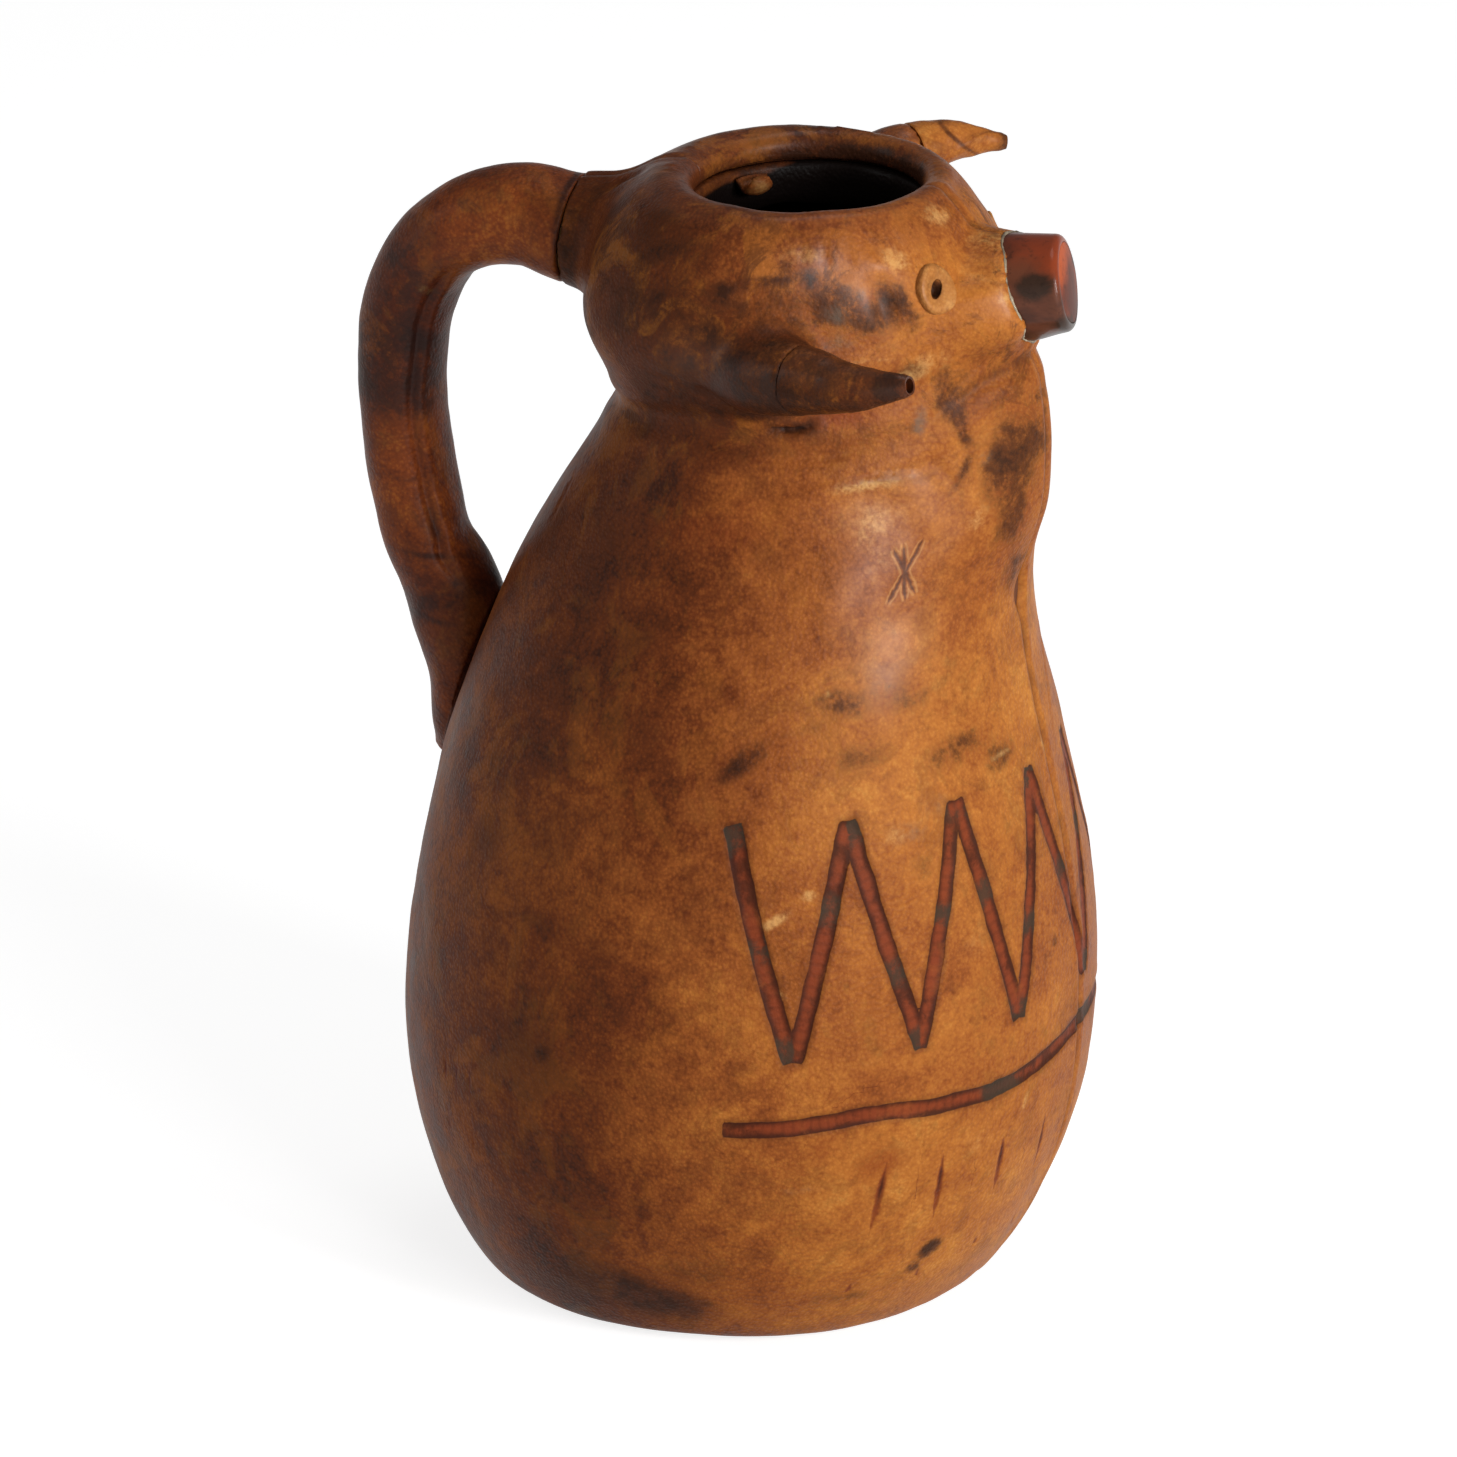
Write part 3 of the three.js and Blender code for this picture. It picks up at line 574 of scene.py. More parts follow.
shinySpots = [      # waxed places that catch the light
    (9.4, -57, 9, 7, 0, 1.0), (8.8, -52, 9, 12, 15, .9), (7.6, -42, 10, 12, 0, .5),
    (14.5, -67, 10, 5, 0, .9), (13.9, -50, 5, 5, 0, .7), (14.8, -32, 8, 4, 0, .6),
    (12.6, -64, 12, 3, -12, .6), (13.3, -20, 6, 7, 0, .5), (12.9, -90, 12, 6, 0, .4),
    (10.6, -60, 16, 3, 0, .3), (9.1, -39, 5, 6, 0, .6), (9.3, 50, 12, 9, 0, .7),
    (14.5, 70, 10, 6, 0, .7), (7.5, 40, 12, 12, 0, .4),
]
warmStains = [      # redder, where wax or dye sits
    (3.2, -48, 7, 5, 0, .8), (3.4, -58, 5, 4, 0, .5), (5.0, -48, 12, 10, 0, .3),
    (10.7, -66, 16, 3, 0, .8), (12.0, -103, 12, 5, 0, .5), (9.3, -84, 26, 9, 0, .35),
    (13.7, 60, 8, 6, 0, .5), (3.2, 40, 8, 5, 0, .6),
]


def spotMap(places, stains, points, seed):
    total = np.zeros(len(points))
    wobble = 1 + uneven(points, (0.3, 12, seed), (0.2, 5, seed + 1))
    for u, degrees, wide, high, tilt, strength in stains:
        total = 1 - (1 - total) * (1 - 0.95 * np.clip(
            strength * places.spot(u, degrees, wide * 1.2, high * 1.2, tilt), 0, 1))
    return np.clip(total * wobble, 0, 1.2)


def toneAt(angle, u, z):             # how light the leather is: browner at the back
    turn = np.cos(angle)
    return 0.37 - 0.05 * ramp(turn, -0.8, -0.2) + 0.28 * ramp(turn, -0.35, 0.8) \
        - 0.06 * (1 - ramp(u, 1.2, 2.6)) * (1 - ramp(turn, 0, 0.6)) \
        - 0.05 * bell(u - 8.6, 1.2) - 0.06 * ramp(z, 288, 297)


def muzzlePush(points):              # leather round the snout drawn forward along its axis
    axis = snoutAxis()
    away = points - (snoutRoot[0], 0, snoutRoot[1])
    away = away - np.outer(away @ axis, axis)
    r = np.linalg.norm(away, axis=1) + 1e-6
    across, up = np.abs(away[:, 1]) / r, away[:, 2] / r
    reach = muzzle["reach"] + muzzle["sideReach"] * across ** 2 * (1 - ramp(up, 0.1, 0.5))
    push = muzzle["push"] * (1 - 0.8 * ramp(-up, 0.42, 0.95)) * (1 - 0.3 * ramp(up, 0.75, 0.98))
    ahead = ramp(points[:, 0], *muzzle["aheadOf"])
    share = (1 - ramp(r, muzzle["full"], reach)) * ramp(r, *muzzle["inner"]) * ahead
    at, wide = muzzle["lowerAt"]
    lower = muzzle["lower"] * bell(r - at, wide) * ramp(up, 0.35, 0.9) * ahead
    return np.outer(share * push, axis) - away / r[:, None] * lower[:, None]


def rimRoll(points):                 # rim turned in to a soft thick roll
    away = points[:, :2] - (form["mouthX"], 0)
    radii = np.array([form["mouthRx"], form["mouthRy"]])
    share = np.linalg.norm(away / radii, axis=1) + 1e-6
    grow = (share - 1) * radii.mean()
    turnIn = rim["turnIn"] * (1 - ramp(grow, -0.5, 5)) * ramp(points[:, 2], *rim["turnFrom"]) \
        * (share > 0.9)
    move = np.zeros_like(points)
    move[:, :2] = -away / np.linalg.norm(away, axis=1)[:, None] * turnIn[:, None]
    wave = uneven(points, (0.5, 22, 12), (0.35, 9, 13))
    move[:, 2] = ramp(points[:, 2], *rim["waveFrom"]) * (wave - rim["sink"])
    return move


opening = {"z": 194, "halfHeight": 7.5, "halfWidth": 1.5}      # the front seam's open stretch


# Relief of the leather over the plain form: height in mm, half width in mm
relief = {
    "neckCrease": (-0.55, 1.6), "neckHollow": (-0.7, 5), "neckRoll": (0.4, 3.6), "neckRollAt": 6.5,
    "hornCrease": (-0.9, 1.8), "belowStep": (0.75, 4.5), "aboveStep": (-0.25, 1.4),
    "slitDepth": 2.0, "slitLip": (0.35, 1.2), "slitLipAt": 2.3,
    "foldDepth": 0.8, "foldLip": 0.3, "tickDepth": 0.28, "starDepth": 0.34,
    "burntLip": (0.12, 0.7), "burntLipAt": 0.9,
    "notchDepth": 1.7, "seam": (-0.55, 1.3), "seamLip": (0.3, 1.4), "seamLipAt": 2.6,
    "pit": 2.2, "pitWide": 1.3, "pitHigh": 2.5,     # hole behind each eye ring
}
# Forms round each eye: station, degrees, half width, half height, height (mm)
faceForms = [
    (13.6, 33, 9, 8, 0.8), (13.45, 47, 3.6, 6.5, -1.3),        # under the eye, hollow behind it
    (14.3, 47, 6, 4.5, 0.9), (12.4, 34, 10, 5, 0.7), (11.5, 33, 7, 4, -0.6),   # brow, cheek, jaw
]


def dent(distance, height, width):   # relief across a line
    return height * bell(distance, width)


def seatRoots(points, places, tube, oval, fromMouth):
    # tube roots end in the wall: what stands out of its inner face goes back to it
    mouthWall = (oval < 1.15) & (points[:, 2] > form["flangeBottom"] - 0.5)
    inMouth = mouthWall & (tube < shell["rootReach"]) & (oval < 1)
    points[inMouth, :2] = (form["mouthX"], 0) + fromMouth[inMouth, :2] / oval[inMouth][:, None]
    deep = (tube < shell["rootReach"]) & ~mouthWall & (places.height < -form["wall"]) & (places.u > 5)
    points[deep] += formNormal(places.u[deep], places.angle[deep]) \
        * (-form["wall"] - places.height[deep])[:, None]


def foldRelief(points, places):      # folds, step and slit: relief, mm to the slit, and shares of painted shade
    fold, _ = places.line(marks["neckFold"])
    foldHere = np.clip(0.55 + 0.75 * lumps(points, 26, 4), 0.12, 1.2)
    move = foldHere * (dent(fold, *relief["neckCrease"]) + dent(fold, *relief["neckHollow"]))
    move += dent(fold - relief["neckRollAt"], *relief["neckRoll"])
    hornFold, _ = places.line(marks["hornFold"])
    move += dent(hornFold, *relief["hornCrease"])
    step, _ = places.line(marks["chestStep"])
    below = places.offset(9.75, 0)[1] > 0
    move += np.where(below, dent(step, *relief["belowStep"]), dent(step, *relief["aboveStep"]))
    slit, slitShare = places.line(marks["slit"])
    slitEdge = slit - (0.2 + 0.6 * np.sin(np.pi * np.clip(slitShare, 0.02, 0.98)))
    move -= relief["slitDepth"] * (1 - ramp(slitEdge, -0.7, 0.5))
    move += dent(slit - relief["slitLipAt"], *relief["slitLip"])
    folded = np.zeros(len(points))
    wander = 0.5 * lumps(points, 7, 5)
    for line, wide, depth in marks["folds"]:
        distance, share = places.line(line)
        fade = np.sin(np.pi * np.clip(share, 0.04, 0.96)) ** 0.6
        folded = np.maximum(folded, fade * depth * bell(distance + wander, wide))
        move += relief["foldLip"] * depth * fade * bell(distance - 2.2 * wide, 1.4 * wide)
    move -= relief["foldDepth"] * folded
    shares = [foldHere * (0.3 * bell(fold, 7) + 0.55 * bell(fold, 1.6)), 0.75 * bell(hornFold, 3.4),
              bell(slit, 3.5), 0.85 * folded]
    return move, slitEdge, shares


def faceRelief(places):              # brows, cheeks and eye sockets
    move = np.zeros(len(places.u))
    for side in (-1, 1):
        for u, degrees, wide, high, height in faceForms:
            move += height * places.spot(u, side * degrees, wide, high)
        cosine, sine = math.cos(eyeTurn * side), math.sin(eyeTurn * side)
        x, y = places.offset(marks["eye"][0], side * marks["eye"][1])
        pit = np.hypot((x * cosine + y * sine) / relief["pitWide"],
                       (y * cosine - x * sine) / relief["pitHigh"])
        move -= relief["pit"] * (1 - ramp(pit, 0.6, 1.25))
    return move


def burntMarks(points, places):      # mm from the edge of the burnt bars, mm along, and ash
    burnt = np.full(len(points), 9.0)
    along = np.zeros(len(points))
    ash = np.zeros(len(points))
    corner = [(marks["zigzagTop"] if k % 2 == 0 else marks["zigzagBottom"],
               marks["zigzagFrom"] + marks["zigzagStep"] * k) for k in range(marks["zigzagBars"])]
    for k, (start, end) in enumerate(zip(corner, corner[1:])):
        slip = marks["barSlip"] * math.sin(2.1 * k)             # drawn by hand
        over = marks["barOver"] * (1 if k % 2 == 0 else -1)
        edge, mmAlong, length = places.bar((start[0] + over, start[1] + slip),
                                           (end[0] - over, end[1] - slip), marks["barWidth"])
        closer = edge < burnt
        burnt = np.where(closer, edge, burnt)
        along = np.where(closer, mmAlong + 7 * k, along)
        nearEnd = np.minimum(mmAlong, length - mmAlong)
        patch = bell(nearEnd - 2, 6) * (0.65 + 0.35 * math.sin(3.7 * k + 1))
        ash = np.where(closer, patch + 0.75 * bell(mmAlong - 34 - 9 * math.sin(k), 5), ash)
    under, underShare = places.line(marks["underline"])
    edge = under - marks["barWidth"] / 2 + 0.7 * ramp(underShare, 0.6, 1)
    edge = np.maximum(edge, -places.stroke(*marks["underline"][:2])[1])       # square end
    closer = edge < burnt
    burnt = np.where(closer, edge, burnt)
    along = np.where(closer, underShare * marks["underlineLength"], along)
    ash = np.where(closer, bell(underShare - 0.47, .05) + bell(underShare - 0.72, .03), ash)
    burnt += uneven(points, (0.22, 2.6, 7), (0.15, 6, 8))
    return burnt, along, ash


def tickMarks(places):               # half widths beside the nearest tick, and share along it
    tickBeside, tickShare = np.full(len(places.u), 9.0), np.full(len(places.u), 2.0)
    for start, end, wide in marks["ticks"]:
        beside, mmAlong, length = places.stroke(start, end)
        closer = np.hypot(beside, np.maximum(0, np.abs(mmAlong / length - 0.5) - 0.5) * length) \
            < np.hypot(tickBeside, np.maximum(0, np.abs(tickShare - 0.5) - 0.5) * length)
        tickBeside = np.where(closer, beside / wide, tickBeside)
        tickShare = np.where(closer, mmAlong / length, tickShare)
    return tickBeside, np.clip(tickShare, -1, 2)


def starMarks(places):               # mm from the star's middle, and beside each of its strokes
    reach = np.hypot(*places.offset(*marks["starAt"]))
    return reach, [places.stroke(start, end)[0] for start, end in marks["starStrokes"]]


def bothSides(places, u, degrees, wide, high):       # the same spot right and left
    return np.maximum(places.spot(u, degrees, wide, high), places.spot(u, -degrees, wide, high))


def vesselPaint(points, places, oval):       # tone, stains, painted shade and highlights, shine and wear of each place
    z = points[:, 2]
    rightHorn = tubeDistance(points, horns["right"], horns["joint"])
    onHorn = (1 - ramp(rightHorn, 0.5, 7)) * ramp(places.height, -0.5, 3.5)
    handleRoot = tubeDistance(points, handleTube[:, :4], handle["joint"])
    onRoot = (1 - ramp(handleRoot, 0.5, 9)) * ramp(places.height, -0.5, 4) * ramp(places.u, 11, 12)
    # painted shade down into the mouth, starting higher and deeper on the shaded front wall
    shadedWall = ramp(np.cos(places.angle - 0.6), -0.3, 0.5)
    intoMouth = (oval < 1.12) * (1 - ramp(z, 291.5 + 2.5 * shadedWall, 301.3)) * (0.6 + 1.1 * shadedWall)
    dark = spotMap(places, stainsAndShades, points, 21)
    # stains, with painted shade in the eye pits and into the mouth; darker round the horn and handle
    # roots
    dark = np.maximum.reduce([0.85 * dark, 1.2 * bothSides(places, *marks["eye"], 2.2, 3),
                              0.5 * onHorn + 0.3 * dark, intoMouth,
                              onRoot * (0.36 + 0.3 * ramp(np.abs(points[:, 1]), 3, 9)),
                              0.26 * ramp(z, 293, 299)])
    worn = 0.3 + 0.55 * ramp(places.u, 9.9, 11) + 0.2 * ramp(-np.cos(places.angle), 0, 1)
    return {
        "tone": toneAt(places.angle, places.u, z) - 0.12 * onHorn
        + 0.09 * bothSides(places, 13.7, 31, 13, 9),
        "darkStain": dark,
        "ashStain": spotMap(places, ashStains, points, 25),
        "lightScuff": spotMap(places, scuffsAndHighlights, points, 31),
        "warmStain": spotMap(places, warmStains, points, 35),
        "shine": np.maximum(spotMap(places, shinySpots, points, 61), 0.5 * bell(z - 299.5, 2.2)),
        "wear": worn * (1 - 0.3 * ramp(z, 290, 296)) * (1 - 0.6 * onRoot),
    }


def shapeVessel(obj):
    mesh = obj.data
    points = getPoints(mesh)
    places = FormPlaces(points)
    tubes = [(handleTube[:, :4], handle["joint"]), (np.array(horns["right"]), horns["joint"]),
             (np.array(horns["left"]), horns["joint"])]
    tube = np.min([tubeDistance(points, rows, last) for rows, last in tubes], 0)
    fromMouth = points - (form["mouthX"], 0, 0)
    oval = np.hypot(fromMouth[:, 0] / form["mouthRx"], fromMouth[:, 1] / form["mouthRy"])
    seatRoots(points, places, tube, oval, fromMouth)
    outer = np.where(places.height > 2, tube > -1.2, places.height > -1.3).astype(float)
    outer *= 1 - ramp(places.u, 15.85, 15.99) * (places.height < -0.6)
    meet = outer * (1 - ramp(np.abs(places.height) + np.abs(tube), 1, shell["junction"]))
    meet *= oval > 1.08
    points = relax(mesh, points, meet * 0.9, 45)
    setPoints(mesh, points)
    print("places found, junctions eased")

    move = shell["lumpHeight"] * uneven(points, (1, 34, 1), (0.55, 15, 2), (0.2, 6, 3))
    folds, slitEdge, creases = foldRelief(points, places)
    move += folds + faceRelief(places)
    burnt, along, ash = burntMarks(points, places)
    move -= shell["grooveDepth"] * (1 - ramp(burnt, -0.8, 0.25))
    move += dent(burnt - relief["burntLipAt"], *relief["burntLip"])
    tickBeside, tickShare = tickMarks(places)
    tick = np.abs(tickBeside) - 4 * tickShare * (1 - tickShare) * (1.15 - 0.6 * tickShare)
    move -= relief["tickDepth"] * (1 - ramp(tick, -0.5, 0.3))
    starReach, star = starMarks(places)
    starLine = np.abs(star).min(0) - np.minimum(marks["starHalf"], (marks["starEnd"] - starReach) * 0.2)
    move -= relief["starDepth"] * (1 - ramp(starLine, -0.4, 0.35))
    notch = bell(points[:, 2] - opening["z"], 6) * bell(points[:, 1] + 1.2, 3.6) * (points[:, 0] > 30)
    move -= relief["notchDepth"] * notch
    y = np.abs(points[:, 1])
    seamWander = 0.8 + 0.5 * lumps(points, 14, 11)
    move += dent(y, *relief["seam"]) * seamWander
    move += dent(y - relief["seamLipAt"], *relief["seamLip"])
    # painted shade in the seam's notch, along the seams and where the horns and handle meet the head
    creases += [0.9 * notch, 0.6 * bell(y, 1.6) * seamWander, 0.35 * meet]
    points = points + getNormals(mesh) * (move * outer)[:, None]
    points += rimRoll(points)
    points += muzzlePush(points) * outer[:, None]
    setPoints(mesh, points)

    lip = ramp(points[:, 2], 288.5, 290) * (1 - ramp(oval, 1.1, 1.2))
    crease = np.maximum.reduce(creases) * (0.8 + 0.4 * lumps(points, 8, 41))
    drawn = {
        "burnEdge": np.clip(burnt, -4, 4), "burnAlong": along, "burnAsh": np.clip(ash, 0, 1),
        "tickBeside": np.clip(tickBeside, -6, 6), "tickShare": tickShare,
        "starReach": np.clip(starReach, 0, 12), "slitEdge": np.clip(slitEdge, -4, 4),
        "crease": np.clip(crease, 0, 1), "inside": (1 - outer) * (1 - lip),
    }
    for name, beside in zip(("starA", "starB", "starC"), star):
        drawn[name] = np.clip(beside, -12, 12)
    for name, values in (drawn | vesselPaint(points, places, oval)).items():
        paint(mesh, name, values)


shapeVessel(vessel)
vesselSkin = BVHTree.FromObject(vessel, bpy.context.evaluated_depsgraph_get())
print("vessel shaped and marked")


def fillCut(bm, cut):                # closes a flat cut that may hold rings within rings
    bm.verts.index_update()
    corners = sorted({v for e in cut for v in e.verts}, key=lambda v: v.index)
    number = {v: i for i, v in enumerate(corners)}
    flat = [Vector((v.co.x, v.co.z)) for v in corners]
    lines = [(number[e.verts[0]], number[e.verts[1]]) for e in cut]
    places, _, faces, origin, _, _ = delaunay_2d_cdt(flat, lines, [], 1, 1e-9)
    ends = np.array([[flat[i] for i in line] for line in lines])
    y = corners[0].co.y
    verts = [corners[o[0]] if o else bm.verts.new((p.x, y, p.y)) for p, o in zip(places, origin)]
    (x0, z0), (x1, z1) = ends[:, 0].T, ends[:, 1].T
    for face in faces:
        x, z = np.mean([places[i] for i in face], 0)
        spans = (z0 > z) != (z1 > z)
        crossing = x0[spans] + (z - z0[spans]) * (x1 - x0)[spans] / (z1 - z0)[spans]
        if np.count_nonzero(crossing > x) % 2:
            corner = [verts[i] for i in face]
            if len(set(corner)) == 3 and not bm.faces.get(corner):
                bm.faces.new(corner)


def cutHalf(source, name, side):     # side -1 right, 1 left
    mesh = source.data.copy()
    with editing(mesh) as bm:
        result = bmesh.ops.bisect_plane(
            bm, geom=bm.verts[:] + bm.edges[:] + bm.faces[:], dist=1e-6, clear_outer=True,
            plane_co=(0, side * shell["seamGap"] * mm, 0), plane_no=(0, -side, 0))
        fillCut(bm, [e for e in result["geom_cut"] if isinstance(e, bmesh.types.BMEdge)])
        bmesh.ops.recalc_face_normals(bm, faces=bm.faces)
    obj = bpy.data.objects.new(name, mesh)
    mesh.name = name
    bpy.context.scene.collection.objects.link(obj)
    points = getPoints(mesh)
    rise = np.clip(1 - ((points[:, 2] - opening["z"]) / opening["halfHeight"]) ** 2, 0, 1)
    near = 1 - ramp(np.abs(points[:, 1]), 0.4, 4.5)
    front = points[:, 0] > 40
    points[:, 1] += side * opening["halfWidth"] * rise * near * front
    setPoints(mesh, points)
    return obj


rightHalf = cutHalf(vessel, "right_half_leather", -1)
leftHalf = cutHalf(vessel, "left_half_leather", 1)
bpy.data.objects.remove(vessel)
for half, node in ((rightHalf, "shell_right_half"), (leftHalf, "shell_left_half")):
    shadeSmooth(half)
    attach(half, "root")
    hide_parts(node)
print("half shells cut")


# Materials
class Field:                 # wraps a socket, so shader maths reads as plain expressions
    def __init__(self, tree, socket):
        self.tree, self.socket = tree, socket

    def node(self, kind, settings=None, inputs=None, output=0):
        made = self.tree.nodes.new(kind)
        for key, value in (settings or {}).items():
            if key == "stops":
                stops = made.color_ramp.elements
                while len(stops) < len(value):
                    stops.new(0.5)
                for element, (place, colour) in zip(stops, value):
                    element.position = place
                    element.color = (*colour, 1)
            else:
                setattr(made, key, value)
        for key, value in (inputs or {}).items():
            if isinstance(value, Field):
                self.tree.links.new(value.socket, made.inputs[key])
            else:
                made.inputs[key].default_value = value
        return Field(self.tree, made.outputs[output] if made.outputs else None)

    def maths(self, operation, *values):
        return self.node("ShaderNodeMath", {"operation": operation}, dict(enumerate(values)))

    def __add__(self, other):
        return self.maths("ADD", self, other)

    def __radd__(self, other):
        return self.maths("ADD", other, self)

    def __sub__(self, other):
        return self.maths("SUBTRACT", self, other)

    def __rsub__(self, other):
        return self.maths("SUBTRACT", other, self)

    def __mul__(self, other):
        return self.maths("MULTIPLY", self, other)

    def __rmul__(self, other):
        return self.maths("MULTIPLY", other, self)

    def step(self, low, high):       # smooth 0 to 1 between low and high
        return self.node("ShaderNodeMapRange", {"interpolation_type": "SMOOTHSTEP"},
                         {"Value": self, "From Min": low, "From Max": high})

    def noise(self, scale, detail=3.0, roughness=0.55, warp=0.0):
        return self.node("ShaderNodeTexNoise", None, {
            "Vector": self, "Scale": scale, "Detail": detail, "Roughness": roughness,
            "Distortion": warp})

    def stretch(self, x, y, z):      # scales coordinates
        return self.node("ShaderNodeVectorMath", {"operation": "MULTIPLY"}, {0: self, 1: (x, y, z)})

    def blend(self, colour, factor):         # this colour with another laid over it
        other = colour if isinstance(colour, Field) else (*colour, 1)
        return self.node("ShaderNodeMix", {"data_type": "RGBA"}, {0: factor, 6: self, 7: other}, 2)

    def between(self, low, high):            # from one colour to the other as this goes 0 to 1
        return self.node("ShaderNodeMix", {"data_type": "RGBA"},
                         {0: self, 6: (*low, 1), 7: (*high, 1)}, 2)


def linear(red, green, blue):        # screen colour, 0 to 255, as the shader wants it
    return tuple(((c / 255 + 0.055) / 1.055) ** 2.4 if c > 10 else c / 255 / 12.92
                 for c in (red, green, blue))


def startMaterial(name):
    material = bpy.data.materials.new(name)
    material.use_nodes = True
    tree = material.node_tree
    tree.nodes.clear()
    place = Field(tree, tree.nodes.new("ShaderNodeTexCoord").outputs["Object"])
    return material, place


def finishMaterial(place, colour, roughness, height, bumpDepth, strength=1.0, **plain):
    # height in units of bumpDepth metres; plain holds values that are the same all over
    inputs = {"Base Color": colour, "Roughness": roughness}
    if height is not None:
        inputs["Normal"] = place.node("ShaderNodeBump", None, {
            "Height": height, "Distance": bumpDepth, "Strength": strength})
    inputs.update({key.replace("_", " "): value for key, value in plain.items()})
    shader = place.node("ShaderNodeBsdfPrincipled", None, inputs)
    place.node("ShaderNodeOutputMaterial", None, {"Surface": shader})


def attribute(place, name):
    return place.node("ShaderNodeAttribute", {"attribute_name": name}, None, "Fac")


leatherLook = {
    "shades": [(0.14, linear(62, 30, 17)), (0.32, linear(108, 53, 24)), (0.48, linear(146, 80, 35)),
               (0.64, linear(176, 107, 46)), (0.84, linear(206, 140, 66))],
    "dark": linear(72, 37, 20), "black": linear(42, 25, 18), "ash": linear(108, 92, 78),
    "bright": linear(204, 126, 48), "pale": linear(214, 164, 100), "warm": linear(122, 46, 20),
    "raw": linear(150, 104, 62), "scorch": linear(160, 84, 40), "tick": linear(112, 46, 24),
    "slit": linear(30, 18, 13),
    "pitch": linear(20, 13, 11), "burnCentre": linear(126, 56, 31), "burnEdge": linear(58, 26, 18),
    "burnAsh": linear(50, 47, 39),
    "grain": 1050, "grainDepth": 0.0004, "gloss": 0.07,
}


def leatherGrain(place, scale):      # pebbles about a millimetre across, pores and hair marks
    cells = place.node("ShaderNodeTexVoronoi", {"feature": "SMOOTH_F1"}, {
        "Vector": place, "Scale": scale, "Smoothness": 0.6, "Randomness": 1.0}, "Distance")
    fine = place.noise(scale * 2.6, 2, 0.6)
    broad = place.noise(160, 3, 0.6)
    return cells, cells * 0.75 + fine * 0.35 + broad * 1.1


def burntLeather(place, look, mottle):       # colour of a burnt bar, with its rungs and ash
    edge = attribute(place, "burnEdge")
    streaks = place.noise(85, 4, 0.6) - 0.5
    colour = (edge + streaks * 2.4 + mottle * 1.6).step(-2.1, -0.15)
    colour = colour.between(look["burnCentre"], look["burnEdge"])
    rungs = place.maths("SINE", attribute(place, "burnAlong") * 2.1 + mottle * 4.0).step(0.0, 1.0)
    colour = colour.blend(look["burnEdge"], rungs * 0.22)
    colour = colour.blend(look["burnEdge"], (streaks * 2 + mottle * 1.6).step(0.0, 0.4) * 0.7)
    colour = colour.blend(look["scorch"], (mottle * 1.5 - streaks).step(0.1, 0.4) * 0.35)
    ashy = attribute(place, "burnAsh") * (1 + mottle * 2.5) + streaks * 0.8
    return edge, colour.blend(look["burnAsh"], ashy.step(0.3, 0.8) * 0.85)


def drawnMarks(place, look, colour, mottle):         # the ornament and the slit over the leather
    edge, burn = burntLeather(place, look, mottle)
    burnt = 1 - edge.step(-0.18, 0.14)
    colour = colour.blend(look["dark"], (1 - edge.step(0.0, 1.8)) * 0.35)
    colour = colour.blend(burn, burnt * 0.93)
    share = attribute(place, "tickShare")
    tick = place.maths("ABSOLUTE", attribute(place, "tickBeside")) \
        - share * (1 - share) * (1.15 - share * 0.6) * 4 + mottle * 1.2
    colour = colour.blend(look["tick"], (1 - tick.step(-0.35, 0.3)) * 0.8)
    core = (1 - tick.step(-0.9, -0.1)) * (1 - share.step(0.35, 0.75))
    colour = colour.blend(look["burnEdge"], core * 0.9)
    reach = attribute(place, "starReach")
    star = place.maths("ABSOLUTE", attribute(place, "starA"))
    for name in ("starB", "starC"):
        star = star.maths("MINIMUM", star, star.maths("ABSOLUTE", attribute(place, name)))
    half = star.maths("MINIMUM", marks["starHalf"], (marks["starEnd"] - reach) * 0.2)
    star = star - half + mottle * 0.8
    colour = colour.blend(look["dark"], (1 - star.step(-0.35, 0.2)) * 0.8)
    halo = star.step(0.1, 0.4) * (1 - star.step(0.5, 1.0)) * (1 - reach.step(8.6, marks["starEnd"]))
    colour = colour.blend(look["pale"], halo * 0.3)
    # painted shade inside the slit
    slit = 1 - attribute(place, "slitEdge").step(-0.6, 0.5)
    return colour.blend(look["slit"], slit * 0.8), burnt


